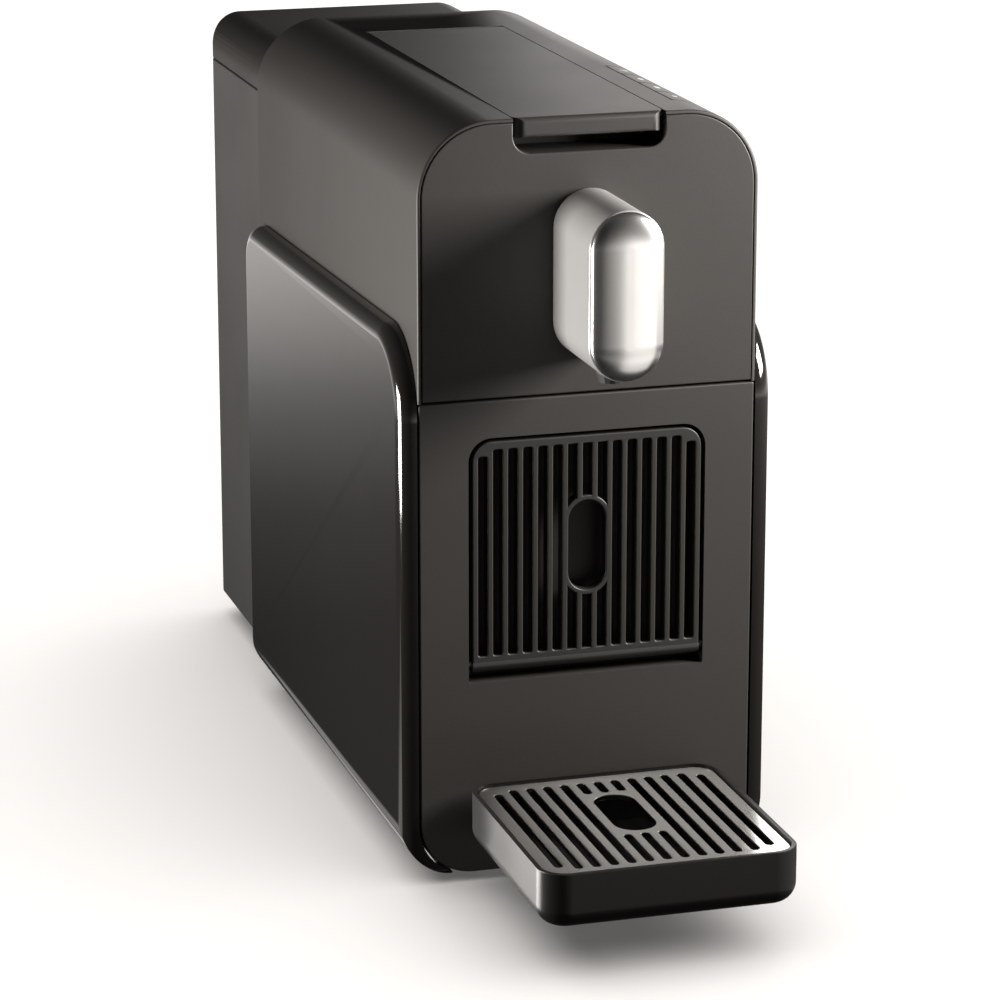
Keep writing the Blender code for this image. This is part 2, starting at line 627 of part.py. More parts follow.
def make_hoses():
    runs = {
        "tank_hose": [(0.0020, 0.0960, 0.0083), (0.0020, 0.0880, 0.0090), (0.0030, 0.0600, 0.0160),
                      (0.0100, 0.0380, 0.0300), (0.0290, 0.0260, 0.0480), (0.0300, 0.0250, 0.0630)],
        "pump_inlet_hose": [(0.0300, 0.0250, 0.0806), (0.0290, 0.0220, 0.0900), (0.0100, 0.0060, 0.0850),
                            (-0.0120, -0.0010, 0.0600), (-0.0205, -0.0015, 0.0470), (-0.0220, 0.0025, 0.0440),
                            (-0.0220, 0.0064, 0.0440)],
        "pump_outlet_hose": [(-0.0220, 0.0946, 0.0440), (-0.0220, 0.0985, 0.0450), (-0.0215, 0.1010, 0.0560),
                             (-0.0180, 0.1010, 0.0900), (-0.0080, 0.0860, 0.1260), (0.0000, 0.0800, 0.1300),
                             (0.0052, 0.0800, 0.1300)],
        "brew_hose": [(0.0200, 0.0700, 0.1468), (0.0202, 0.0698, 0.1520), (0.0260, 0.0640, 0.1640),
                      (0.0330, 0.0200, 0.1760), (0.0350, -0.0700, 0.1950), (0.0330, -0.1000, 0.2000)],
    }
    for name, knots in runs.items():
        dress(tube(name, smooth_run(knots, 3), 0.0026), "silicone")
    elbow = smooth_run([(0.0330, -0.1020, 0.2003), (0.0325, -0.1065, 0.2010), (0.0300, -0.1090, 0.2020)], 2)
    dress(tube("brew_elbow", elbow, 0.0022), "brass")


# ---- water tank -------------------------------------------------------------------------------


def make_dock():
    outline = rounded((-0.0460, SHELL_BACK + 0.0001), (0.0460, 0.2000), (0.002, 0.002, 0.012, 0.012), 4)
    holes = [circle((0.036 * side, 0.185), PEG_HOLE_R, 12) for side in (-1, 1)]
    dock = slab("tank_dock", [outline] + holes, "z", UNDERSIDE + 0.0004, TANK_LOW - 0.0005)
    combine(dock, cylinder("seat", (0, VALVE_Y, 0.0110), 0.0115, 0.0090, "z", 20))
    combine(dock, cylinder("pin", (0, VALVE_Y, 0.0060), 0.0018, 0.0024, "z", 10), "UNION")
    combine(dock, cylinder("spigot", (0.002, 0.1024, 0.0083), 0.0023, 0.0118, "y", 12), "UNION")
    dress(dock, "matte_black")
    ring = [(0.0108, 0.0014), (0.0108, -0.0014), (0.0070, -0.0014), (0.0070, 0.0014)]
    dress(turned("dock_seal", ring, (0, VALVE_Y, 0.0083), "z", 20), "silicone")


def make_tank(tank_lift):
    outline = rounded((-TANK_HALF, TANK_FRONT), (TANK_HALF, TANK_BACK), (0.003, 0.003, 0.012, 0.012), 5)
    tank = slab("water_tank", outline, "z", TANK_LOW, TANK_TOP)
    low = (TANK_WALL - TANK_HALF, TANK_FRONT + TANK_WALL)
    inside = rounded(low, (TANK_HALF - TANK_WALL, TANK_BACK - TANK_WALL), (0.0015, 0.0015, 0.010, 0.010), 5)
    combine(tank, slab("inside", inside, "z", TANK_LOW + TANK_WALL, TANK_TOP + 0.01))
    combine(tank, cylinder("drain", (0, VALVE_Y, TANK_LOW), 0.0042, 0.010, "z"))
    dress(tank, "smoke_plastic", tank_lift)
    return inside


def make_tank_lid(lid_lift, inside):
    outline = rounded((-TANK_HALF, TANK_FRONT), (TANK_HALF, TANK_BACK), (0.003, 0.003, 0.012, 0.012), 5)
    cap = slab("tank_lid", outline, "z", TANK_TOP + GAP, TANK_LID_TOP)
    combine(cap, slab("space", inside, "z", TANK_TOP - 0.01, TANK_LID_TOP - TANK_LID_R))
    trim = rounded((-TANK_HALF - SOFT_EDGE, 0.2), (TANK_HALF + SOFT_EDGE, TANK_LID_TOP),
                   (0, 0, TANK_LID_R, TANK_LID_R), 6)
    combine(cap, slab("trim", trim, "y", 0.09, 0.23), "INTERSECT")
    hollow = rounded((-0.040, 0.232), (0.040, TANK_LID_TOP - WALL), (0, 0, 0.004, 0.004), 3)
    combine(cap, slab("hollow", hollow, "y", TANK_FRONT + 0.004, TANK_BACK - 0.004))
    dress(cap, "matte_black", lid_lift)


def make_valve(tank_lift, valve_slide):
    plunger = [(0, 0.0020), (0.0064, 0.0020), (0.0064, 0.0), (0.0030, 0.0), (0.0030, -0.0045), (0, -0.0045)]
    dress(turned("tank_valve", plunger, (0, VALVE_Y, 0.0123), "z", 14), "silicone", valve_slide)
    cage = [(0.0092, 0.0150), (0.0092, 0.0), (0.0078, 0.0), (0.0078, 0.0136),
            (0.0020, 0.0136), (0.0020, 0.0150)]
    place = (0, VALVE_Y, TANK_LOW + TANK_WALL + 0.0003)
    dress(turned("valve_cage", cage, place, "z", 16), "smoke_plastic", tank_lift)
    points = []
    turns = 4
    per_turn = 10
    radius = 0.0048
    low = 0.0152
    rise = 0.0098
    for step in range(turns * per_turn + 1):
        angle = 2 * math.pi * step / per_turn
        points.append(Vector((radius * math.cos(angle), VALVE_Y + radius * math.sin(angle),
                              low + rise * step / (turns * per_turn))))
    dress(tube("valve_spring", points, 0.0005), "satin_steel", tank_lift)


# ---- drawer -----------------------------------------------------------------------------------


def make_drawer_front(drawer_slide):
    radii = (FOOT_R, FOOT_R, 0.0008, 0.0008)
    outline = rounded((-DRAWER_HALF, UNDERSIDE + 0.0003), (DRAWER_HALF, SEAM - GAP), radii, 6)
    front = slab("drawer_front", outline, "y", FRONT, FRONT + DRAWER_THICK)
    pocket = block("pocket", (-0.0452, FRONT + 0.0030, WINDOW_LOW - 0.0022),
                   (0.0452, FRONT + WINDOW_DEPTH + 0.0016, WINDOW_HIGH + 0.0022))
    combine(front, pocket, "UNION")
    window = rounded((-WINDOW_HALF, WINDOW_LOW), (WINDOW_HALF, WINDOW_HIGH), (0.0, 0.0, WINDOW_R, WINDOW_R), 5)
    combine(front, slab("window", window, "y", FRONT - 0.001, FRONT + WINDOW_DEPTH))
    combine(front, cylinder("pin_bore", (0, SHELF_AXIS_Y, SHELF_AXIS_Z), 0.0015, 0.0884, "x", 12))
    dress(front, "matte_black", drawer_slide)


def slot_shape(x, low, high, half):
    """A slot with softly rounded ends."""
    return rounded((x - half, low), (x + half, high), 0.0006, 2)


def ring_height(x):
    """How far the ring round the oval reaches above its middle at a place across the shelf."""
    reach = OVAL_HALF + OVAL_RING
    return OVAL_HALF_HEIGHT - OVAL_HALF + math.sqrt(max(reach ** 2 - x ** 2, 0.0))


def split_slot(x, upper):
    """One of the middle slots, which stops at the ring round the oval."""
    half = SHELF_SLOT / 2
    sign = 1 if upper else -1
    end = SHELF_SLOT_HIGH if upper else SHELF_SLOT_LOW
    run = [(x + half * (i / 2 - 1), OVAL_Z + sign * ring_height(x + half * (i / 2 - 1))) for i in range(5)]
    points = run + [(x + half, end), (x - half, end)]
    return points if upper else points[::-1]


def make_cup_shelf(shelf_axis, drawer_slide):
    outline = rounded((-SHELF_HALF, SHELF_AXIS_Z), (SHELF_HALF, SHELF_TOP), (0, 0, 0.0066, 0.0066), 5)
    shapes = [outline, stadium((0.0, OVAL_Z), OVAL_HALF, OVAL_HALF_HEIGHT, 7)]
    middle = SHELF_SLOTS // 2
    for number in range(SHELF_SLOTS):
        x = (number - middle) * SHELF_PITCH
        if abs(number - middle) <= 1:
            shapes += [split_slot(x, True), split_slot(x, False)]
        else:
            drop = 0.0022 if number in (0, SHELF_SLOTS - 1) else 0.0
            shapes.append(slot_shape(x, SHELF_SLOT_LOW, SHELF_SLOT_HIGH - drop, SHELF_SLOT / 2))
    front = SHELF_AXIS_Y - SHELF_THICK / 2
    shelf = slab("cup_shelf", shapes, "y", front, front + SHELF_THICK)
    knuckle = arc((SHELF_AXIS_Y, SHELF_AXIS_Z), SHELF_THICK / 2 + 0.0003, 180, 360, 8)
    knuckle += [(SHELF_AXIS_Y + SHELF_THICK / 2, SHELF_AXIS_Z + 0.0010), (front, SHELF_AXIS_Z + 0.0010)]
    combine(shelf, slab("knuckle", knuckle, "x", -SHELF_HALF, SHELF_HALF), "UNION")
    combine(shelf, cylinder("bore", (0, SHELF_AXIS_Y, SHELF_AXIS_Z), 0.0015, 0.10, "x", 12))
    dress(shelf, "matte_black", shelf_axis)
    pin = cylinder("shelf_pin", (0, SHELF_AXIS_Y, SHELF_AXIS_Z), 0.0011, 0.0878, "x", 12)
    dress(pin, "satin_steel", drawer_slide)


def make_carrier(drawer_slide, bin_lift):
    back = FRONT + DRAWER_THICK + 0.0003
    carrier = block("bin_carrier", (-0.0500, back, 0.0218), (0.0500, -0.0080, 0.0330))
    combine(carrier, block("bed", (-0.0482, back - 0.001, 0.0240), (0.0482, -0.0098, 0.0400)))
    combine(carrier, block("tie", (-0.0482, back, 0.0230), (0.0482, back + 0.0020, 0.0560)), "UNION")
    dress(carrier, "dark_inside", drawer_slide)
    bin_back = back + 0.0025
    outside = rounded((-0.0470, bin_back + 0.0045), (0.0470, -0.0110), 0.006, 4)
    inside = rounded((-0.0454, bin_back + 0.0061), (0.0454, -0.0126), 0.0045, 4)
    pod_bin = slab("pod_bin", outside, "z", 0.0244, 0.1500)
    combine(pod_bin, slab("inside", inside, "z", 0.0260, 0.1600))
    dress(pod_bin, "dark_inside", bin_lift)


def grid_slot(x, low, high):
    return stadium((x, (low + high) / 2), GRID_SLOT / 2, (high - low) / 2, 3)


def make_tray(drawer_slide, tray_slide, grid_lift):
    arm_low = (-0.0280, -0.1900, TRAY_LOW - 0.0040)
    bracket = block("tray_bracket", arm_low, (0.0280, FRONT - 0.0003, TRAY_LOW - 0.0004))
    combine(bracket, block("lug", (-0.0200, FRONT - 0.0032, 0.0080), (0.0200, FRONT - 0.0003, 0.0150)), "UNION")
    dress(bracket, "matte_black", drawer_slide)

    outline = rounded((-TRAY_HALF, TRAY_FRONT), (TRAY_HALF, TRAY_BACK), TRAY_R, 5)
    tray = slab("drip_tray", outline, "z", TRAY_LOW, TRAY_TOP)
    round_edges(tray, lambda co: co.z < TRAY_LOW + SOFT_EDGE, 0.0065, 3)
    for rim, low in ((TRAY_RIM, GRID_LEVEL - 0.0003), (0.0034, TRAY_LOW + 0.0022)):
        low_corner = (rim - TRAY_HALF, TRAY_FRONT + rim)
        high_corner = (TRAY_HALF - rim, TRAY_BACK - rim)
        cavity = rounded(low_corner, high_corner, TRAY_R - rim, 5)
        combine(tray, slab("cavity", cavity, "z", low, 0.05))
    dress(tray, "gloss_black", tray_slide)

    inset = TRAY_RIM + 0.0005
    low = (inset - TRAY_HALF, TRAY_FRONT + inset)
    grid_outline = rounded(low, (TRAY_HALF - inset, TRAY_BACK - inset), TRAY_R - inset, 5)
    middle = (TRAY_FRONT + TRAY_BACK) / 2
    oval = stadium((0.0, -0.1600), 0.0070, 0.0172, 7)
    shapes = [grid_outline, oval]
    half = GRID_SLOTS // 2
    for number in range(GRID_SLOTS):
        x = (number - half) * GRID_PITCH
        reach = 0.0350 if number in (0, GRID_SLOTS - 1) else 0.0378
        if abs(number - half) <= 1:
            shapes.append(grid_slot(x, middle - reach, -0.1800))
            shapes.append(grid_slot(x, -0.1400, middle + reach))
        else:
            shapes.append(grid_slot(x, middle - reach, middle + reach))
    grid = slab("drip_grid", shapes, "z", GRID_LEVEL, GRID_LEVEL + 0.0018)
    dress(grid, "satin_steel", grid_lift)


def make_feet():
    profile = [(0, 0.0064), (0.0024, 0.0064), (0.0024, 0.0027), (0.0080, 0.0027), (0.0080, 0.0008),
               (0.0072, 0.0), (0, 0.0)]
    for name, (x, y) in FOOT_PLACES.items():
        dress(turned(name, profile, (x, y, 0), "z", 18), "rubber")


def build():
    lid_axis = joint_empty("lid_axis", (0, LID_AXIS_Y, LID_AXIS_Z))
    piston_slide = joint_empty("piston_slide", (0, -0.0520, BREW_Z))
    drawer_slide = joint_empty("drawer_slide", (0, FRONT, 0.0850))
    shelf_axis = joint_empty("shelf_axis", (0, SHELF_AXIS_Y, SHELF_AXIS_Z), drawer_slide)
    bin_lift = joint_empty("bin_lift", (0, -0.060, 0.0244), drawer_slide)
    tray_slide = joint_empty("tray_slide", (0, (TRAY_FRONT + TRAY_BACK) / 2, TRAY_LOW), drawer_slide)
    grid_lift = joint_empty("grid_lift", (0, (TRAY_FRONT + TRAY_BACK) / 2, GRID_LEVEL), tray_slide)
    tank_lift = joint_empty("tank_lift", (0, VALVE_Y, TANK_LOW))
    lid_lift = joint_empty("tank_lid_lift", (0, VALVE_Y, TANK_TOP), tank_lift)
    valve_slide = joint_empty("valve_slide", (0, VALVE_Y, 0.0123), tank_lift)

    make_chassis_base()
    make_main_shell()
    make_side_panel("side_panel_left", -1)
    make_side_panel("side_panel_right", 1)
    make_front_fascia()
    make_rear_cover()
    make_pod_chute()
    make_brew_unit(lid_axis, piston_slide)
    make_lid(lid_axis)
    make_buttons()
    make_spout()
    make_pump()
    make_heater()
    make_main_board()
    make_hoses()
    make_dock()
    inside = make_tank(tank_lift)
    make_tank_lid(lid_lift, inside)
    make_valve(tank_lift, valve_slide)
    make_drawer_front(drawer_slide)
    make_cup_shelf(shelf_axis, drawer_slide)
    make_carrier(drawer_slide, bin_lift)
    make_tray(drawer_slide, tray_slide, grid_lift)
    make_feet()


build()
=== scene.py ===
"""Looks of the pod coffee machine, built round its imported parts. Metres, +Z up, the front faces -Y."""

import math

import bmesh
import bpy
from mathutils import Matrix, Vector


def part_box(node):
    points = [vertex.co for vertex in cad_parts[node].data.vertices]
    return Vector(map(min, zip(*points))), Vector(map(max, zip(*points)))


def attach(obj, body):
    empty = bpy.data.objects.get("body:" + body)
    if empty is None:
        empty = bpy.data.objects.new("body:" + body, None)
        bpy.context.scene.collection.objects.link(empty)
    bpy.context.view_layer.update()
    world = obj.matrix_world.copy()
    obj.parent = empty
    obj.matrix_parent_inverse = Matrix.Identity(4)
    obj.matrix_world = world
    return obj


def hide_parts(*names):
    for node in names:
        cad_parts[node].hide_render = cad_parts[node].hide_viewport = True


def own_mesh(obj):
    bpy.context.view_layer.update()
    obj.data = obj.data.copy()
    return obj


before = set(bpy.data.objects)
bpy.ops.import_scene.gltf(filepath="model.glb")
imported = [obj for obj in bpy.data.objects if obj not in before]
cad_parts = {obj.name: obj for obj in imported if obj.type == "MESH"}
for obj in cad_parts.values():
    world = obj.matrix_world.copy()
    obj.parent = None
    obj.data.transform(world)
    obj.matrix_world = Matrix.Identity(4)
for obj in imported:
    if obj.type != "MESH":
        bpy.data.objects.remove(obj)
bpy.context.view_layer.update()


# ---- Table, light and camera -------------------------------------------------------------------
# A white table in a dim grey studio: a softbox high on the right, a weak one at the rear, a strip on
# the left for the flank, and a bright band just under the horizon that the polished panels pick up.

TABLE_REACH = 7.0
CAMERA_PLACE = (-0.3865, -1.3204, 0.4848)
CAMERA_PITCH = 74.33
CAMERA_YAW = -16.5
FOCAL_LENGTH = 142.1


def new_finish(name, colour, roughness, metallic=0.0):
    """A Principled material with its node tree and shader at hand."""
    finish = bpy.data.materials.new(name)
    finish.use_nodes = True
    tree = finish.node_tree
    shader = tree.nodes["Principled BSDF"]
    shader.inputs["Base Color"].default_value = (*colour, 1.0)
    shader.inputs["Roughness"].default_value = roughness
    shader.inputs["Metallic"].default_value = metallic
    return finish, tree, shader


bpy.context.scene.view_settings.view_transform = "Standard"

table_finish, table_tree, table_shader = new_finish("studio_table", (0.80, 0.78, 0.765), 0.8)
table_shader.inputs["Emission Color"].default_value = (1.0, 0.97, 0.955, 1.0)
table_shader.inputs["Emission Strength"].default_value = 0.10
table_mesh = bpy.data.meshes.new("studio_table")
table_form = bmesh.new()
bmesh.ops.create_grid(table_form, x_segments=8, y_segments=8, size=TABLE_REACH)
table_form.to_mesh(table_mesh)
table_form.free()
table_mesh.materials.append(table_finish)
table = bpy.data.objects.new("studio_table", table_mesh)
bpy.context.scene.collection.objects.link(table)
table.visible_diffuse = False
table.visible_glossy = False
table.visible_shadow = False

# The air round the table, as brightness against the sine of the height above the horizon
air_steps = [(-1.00, 0.02), (-0.52, 0.03), (-0.46, 0.50), (-0.41, 0.50), (-0.375, 0.03), (-0.300, 0.03),
             (-0.270, 0.07), (-0.245, 0.22), (-0.210, 0.80), (-0.170, 1.25), (-0.10, 0.60), (0.02, 0.16),
             (0.30, 0.05), (1.00, 0.05)]
air = bpy.data.worlds.new("studio_air")
bpy.context.scene.world = air
air.use_nodes = True
air_tree = air.node_tree
air_where = air_tree.nodes.new("ShaderNodeTexCoord")
air_split = air_tree.nodes.new("ShaderNodeSeparateXYZ")
air_curve = air_tree.nodes.new("ShaderNodeFloatCurve")
air_curve.mapping.clip_min_x = -1.0
air_curve.mapping.clip_max_y = 2.0
air_points = air_curve.mapping.curves[0].points
air_points[0].location = air_steps[0]
air_points[1].location = air_steps[-1]
for height, glow in air_steps[1:-1]:
    air_points.new(height, glow)
for point in air_points:
    point.handle_type = "VECTOR"
air_curve.mapping.update()
air_tree.links.new(air_where.outputs["Generated"], air_split.inputs["Vector"])
air_tree.links.new(air_split.outputs["Z"], air_curve.inputs["Value"])

# Towards the front left the air is kept dark
air_side = air_tree.nodes.new("ShaderNodeVectorMath")
air_side.operation = "DOT_PRODUCT"
air_side.inputs[1].default_value = (-0.76, -0.65, 0.0)
air_tree.links.new(air_where.outputs["Generated"], air_side.inputs[0])
air_shade = air_tree.nodes.new("ShaderNodeMapRange")
air_shade.inputs["From Min"].default_value = 0.38
air_shade.inputs["From Max"].default_value = 0.85
air_shade.inputs["To Min"].default_value = 1.0
air_shade.inputs["To Max"].default_value = 0.10
air_tree.links.new(air_side.outputs["Value"], air_shade.inputs["Value"])
air_product = air_tree.nodes.new("ShaderNodeMath")
air_product.operation = "MULTIPLY"
air_tree.links.new(air_curve.outputs["Value"], air_product.inputs[0])
air_tree.links.new(air_shade.outputs["Result"], air_product.inputs[1])
air_tree.links.new(air_product.outputs["Value"], air_tree.nodes["Background"].inputs["Strength"])
air_tree.nodes["Background"].inputs["Color"].default_value = (1.0, 0.965, 0.93, 1.0)


def soft_light(name, place, aim, width, height, power, colour=(1.0, 0.97, 0.94)):
    """A flat softbox that faces the aim point and isn't seen itself."""
    data = bpy.data.lights.new(name, "AREA")
    data.shape = "RECTANGLE"
    data.size = width
    data.size_y = height
    data.energy = power
    data.color = colour
    lamp = bpy.data.objects.new(name, data)
    bpy.context.scene.collection.objects.link(lamp)
    lamp.location = place
    lamp.rotation_euler = (Vector(aim) - Vector(place)).to_track_quat("-Z", "Y").to_euler()
    lamp.visible_camera = False
    return lamp


# The studio lamps leave out the table, and later the drip grid
left_out = bpy.data.collections.new("left_out")


def leave_out(piece):
    """Takes a piece out of the studio lamps' light."""
    left_out.objects.link(piece)
    left_out.collection_objects[-1].light_linking.link_state = "EXCLUDE"


leave_out(table)
for lamp in (
    soft_light("right_softbox", (0.38, -0.27, 0.33), (0.0, -0.118, 0.22), 0.22, 0.20, 7.0),
    soft_light("rear_softbox", (0.27, 0.44, 0.39), (0.04, -0.10, 0.26), 0.24, 0.14, 0.50),
    soft_light("left_strip", (-0.36, -0.08, 0.13), (-0.058, -0.08, 0.20), 0.13, 0.16, 2.7),
):
    lamp.light_linking.receiver_collection = left_out


def lit_only(lamp, piece):
    """Keeps a light to one piece."""
    lit = bpy.data.collections.new(lamp.name)
    lit.objects.link(piece)
    lamp.light_linking.receiver_collection = lit
    return lit


def lit_alone(lamp, piece):
    """Keeps a light to one piece, with nothing else in its way."""
    lamp.light_linking.blocker_collection = lit_only(lamp, piece)


# A wide overhead light for the table alone, so that it stays white and the machine's shadow stays soft
overhead_data = bpy.data.lights.new("table_overhead", "SUN")
overhead_data.energy = 4.4
overhead_data.angle = math.radians(115)
overhead_data.color = (1.0, 0.985, 0.97)
overhead = bpy.data.objects.new("table_overhead", overhead_data)
bpy.context.scene.collection.objects.link(overhead)
overhead.rotation_euler = Vector((0.16, 0.02, 1.0)).to_track_quat("Z", "Y").to_euler()
lit_only(overhead, table)

camera_data = bpy.data.cameras.new("front_left_view")
camera_data.sensor_width = 36.0
camera_data.lens = FOCAL_LENGTH
camera = bpy.data.objects.new("front_left_view", camera_data)
bpy.context.scene.collection.objects.link(camera)
camera.location = CAMERA_PLACE
camera.rotation_euler = (math.radians(CAMERA_PITCH), 0.0, math.radians(CAMERA_YAW))
bpy.context.scene.camera = camera


# ---- Chassis base ------------------------------------------------------------------------------
# The injection-moulded tub that everything stands in, in the same spark-textured warm black as the
# outer shell. Its vents and screw bosses face the table.


def grain(tree, scale, detail=2.0, breakup=0.5, stretch=(1.0, 1.0, 1.0)):
    """Noise in the piece's own space, finer along an axis where the stretch is larger."""
    where = tree.nodes.new("ShaderNodeTexCoord")
    stretched = tree.nodes.new("ShaderNodeMapping")
    stretched.inputs["Scale"].default_value = stretch
    noise = tree.nodes.new("ShaderNodeTexNoise")
    noise.inputs["Scale"].default_value = scale
    noise.inputs["Detail"].default_value = detail
    noise.inputs["Roughness"].default_value = breakup
    tree.links.new(where.outputs["Object"], stretched.inputs["Vector"])
    tree.links.new(stretched.outputs["Vector"], noise.inputs["Vector"])
    return noise


def swing(tree, noise, low, high, target, calm=0.0):
    """Lets a value swing between two limits with the grain, less a calm share at either end of it."""
    spread = tree.nodes.new("ShaderNodeMapRange")
    spread.inputs["From Min"].default_value = calm
    spread.inputs["From Max"].default_value = 1.0 - calm
    spread.inputs["To Min"].default_value = low
    spread.inputs["To Max"].default_value = high
    tree.links.new(noise.outputs["Fac"], spread.inputs["Value"])
    tree.links.new(spread.outputs["Result"], target)


def raise_grain(tree, noise, depth, shader):
    """Raises the surface with the grain, by up to the depth in metres."""
    bump = tree.nodes.new("ShaderNodeBump")
    bump.inputs["Distance"].default_value = depth
    bump.inputs["Strength"].default_value = 1.0
    tree.links.new(noise.outputs["Fac"], bump.inputs["Height"])
    tree.links.new(bump.outputs["Normal"], shader.inputs["Normal"])


def spark_textured(name, colour, roughness, grain_size=0.00032, depth=0.000018, mottle=0.10):
    """Moulded plastic with a fine eroded grain: colour, gloss and height all vary a little with it."""
    finish, tree, shader = new_finish(name, colour, roughness)
    fine = grain(tree, 1 / grain_size, 2.0, 0.6)
    tint = tree.nodes.new("ShaderNodeVectorMath")
    tint.operation = "SCALE"
    tint.inputs[0].default_value = colour
    swing(tree, fine, 1.0 - mottle, 1.0 + mottle, tint.inputs["Scale"], 0.3)
    tree.links.new(tint.outputs["Vector"], shader.inputs["Base Color"])
    swing(tree, grain(tree, 22.0, 3.0), roughness - 0.05, roughness + 0.05, shader.inputs["Roughness"])
    raise_grain(tree, fine, depth, shader)
    return finish


def refinish(finish, *names):
    """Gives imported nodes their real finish."""
    for name in names:
        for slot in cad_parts[name].material_slots:
            slot.material = finish


shell_plastic = spark_textured("shell_plastic", (0.034, 0.031, 0.028), 0.52)
refinish(shell_plastic, "chassis_base")


# ---- Main shell --------------------------------------------------------------------------------
# One wrap-around moulding in spark-textured warm black: two walls, round shoulders and the top, open
# at both ends. Its front edge is a thin lip that runs round the fascia like a frame.


def place_of(node):
    """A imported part's lowest and highest corners, rounded to a hundredth of a millimetre."""
    return [[round(c, 5) for c in corner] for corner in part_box(node)]


(_, FRONT, SHELL_LOW), (HALF, BACK, TOP) = place_of("main_shell")
SEAM_GAP = 0.0004
SEAM = place_of("front_fascia")[0][2] - SEAM_GAP
SHOULDER = 0.0250
WALL = 0.0022
RIM = 0.0007
LIP = 0.0011
REBATE_DEPTH = 0.0035
STEP_DEPTH = 0.0044
OPENING = 0.0260
LID_END = 0.0691
LID_ROOM = 0.0100
KEY_TILT = math.radians(16.25)
KEY_PITCH = 0.0180
KEY_FIRST = -0.0898
WINDOW_HALF = 0.00595
WINDOW_END = 0.00905
WINDOW_IN = 0.0180
WINDOW_OUT = 0.0280

# Cutting tools stand past the surface, and reach wide of the machine
PAST = 0.0020
WIDE = 0.0700


def arc(centre, radius, start, end, steps):
    """Points on a circle from one angle to another, in degrees, both ends included."""
    turn = [math.radians(start + (end - start) * i / steps) for i in range(steps + 1)]
    return [(centre[0] + radius * math.cos(a), centre[1] + radius * math.sin(a)) for a in turn]


def round_box(low, high, radii, steps=10):
    """A box outline with a radius for each corner, anticlockwise from the lower left."""
    (u0, v0), (u1, v1) = low, high
    if not isinstance(radii, tuple):
        radii = (radii,) * 4
    points = []
    for u, v, su, sv, start, r in zip((u0, u1, u1, u0), (v0, v0, v1, v1), (1, -1, -1, 1), (1, 1, -1, -1),
                                      (180, 270, 0, 90), radii):
        points += arc((u + su * r, v + sv * r), r, start, start + 90, steps) if r > 0 else [(u, v)]
    return points


def arch(half, low, top, radius, steps=18):
    """The machine's cross-section above a level, anticlockwise from the lower right."""
    points = [(half, low)] + arc((half - radius, top - radius), radius, 0, 90, steps)
    return points + arc((radius - half, top - radius), radius, 90, 180, steps) + [(-half, low)]


FACING = {
    "x": Matrix(((0, 0, 1), (1, 0, 0), (0, 1, 0))).to_4x4(),
    "y": Matrix(((1, 0, 0), (0, 0, -1), (0, 1, 0))).to_4x4(),
    "z": Matrix.Identity(4),
}


def plate(name, outlines, axis, low, high, edge=0.0, edge_steps=3):
    """Outlines filled and extruded along an axis, with every rim rounded by the edge radius."""
    curve = bpy.data.curves.new(name, "CURVE")
    curve.dimensions = "2D"
    curve.fill_mode = "BOTH"
    curve.extrude = (high - low) / 2 - edge
    curve.bevel_depth = edge
    curve.offset = -edge
    curve.bevel_resolution = edge_steps
    for outline in outlines:
        spline = curve.splines.new("POLY")
        spline.points.add(len(outline) - 1)
        spline.use_cyclic_u = True
        for point, (u, v) in zip(spline.points, outline):
            point.co = (u, v, 0, 1)
    middle = {"x": ((low + high) / 2, 0, 0), "y": (0, (low + high) / 2, 0), "z": (0, 0, (low + high) / 2)}
    return traced(name, curve, Matrix.Translation(middle[axis]) @ FACING[axis])


def traced(name, curve, place):
    """A curve in its place, turned into a welded mesh piece."""
    drawn = bpy.data.objects.new(name + "_drawn", curve)
    bpy.context.scene.collection.objects.link(drawn)
    drawn.matrix_world = place
    mesh = evaluated_mesh(drawn)
    mesh.transform(drawn.matrix_world)
    bpy.data.objects.remove(drawn, do_unlink=True)
    return meshed(name, mesh)


def evaluated_mesh(piece):
    """A new mesh of the piece as it shows, with its modifiers or its curve's depth in it."""
    bpy.context.view_layer.update()
    return bpy.data.meshes.new_from_object(piece.evaluated_get(bpy.context.evaluated_depsgraph_get()))


def meshed(name, mesh):
    """A welded mesh with its faces turned out, as an object of that name."""
    form = bmesh.new()
    form.from_mesh(mesh)
    bmesh.ops.remove_doubles(form, verts=form.verts, dist=1e-6)
    bmesh.ops.recalc_face_normals(form, faces=form.faces)
    form.to_mesh(mesh)
    form.free()
    mesh.name = name
    piece = bpy.data.objects.new(name, mesh)
    bpy.context.scene.collection.objects.link(piece)
    return piece


def formed(name, form):
    """A finished bmesh as a piece."""
    mesh = bpy.data.meshes.new(name)
    form.to_mesh(mesh)
    form.free()
    return meshed(name, mesh)


def box_piece(name, low, high):
    """A plain block between two corners, for joining and cutting."""
    form = bmesh.new()
    middle = (Vector(low) + Vector(high)) / 2
    sides = Vector(high) - Vector(low)
    bmesh.ops.create_cube(form, size=1, matrix=Matrix.Translation(middle) @ Matrix.Diagonal((*sides, 1)))
    return formed(name, form)


def carve(piece, tools, operation="DIFFERENCE"):
    """Cuts, joins or trims with each tool in turn, and throws the tools away."""
    for tool in tools:
        step = piece.modifiers.new("carve", "BOOLEAN")
        step.operation = operation
        step.solver = "EXACT"
        step.object = tool
    return settle(piece, tools)


def settle(piece, tools=()):
    """Applies the piece's modifiers and throws away the tools that they used."""
    mesh = evaluated_mesh(piece)
    piece.modifiers.clear()
    piece.data = mesh
    mesh.name = piece.name
    for tool in tools:
        bpy.data.objects.remove(tool, do_unlink=True)
    return piece


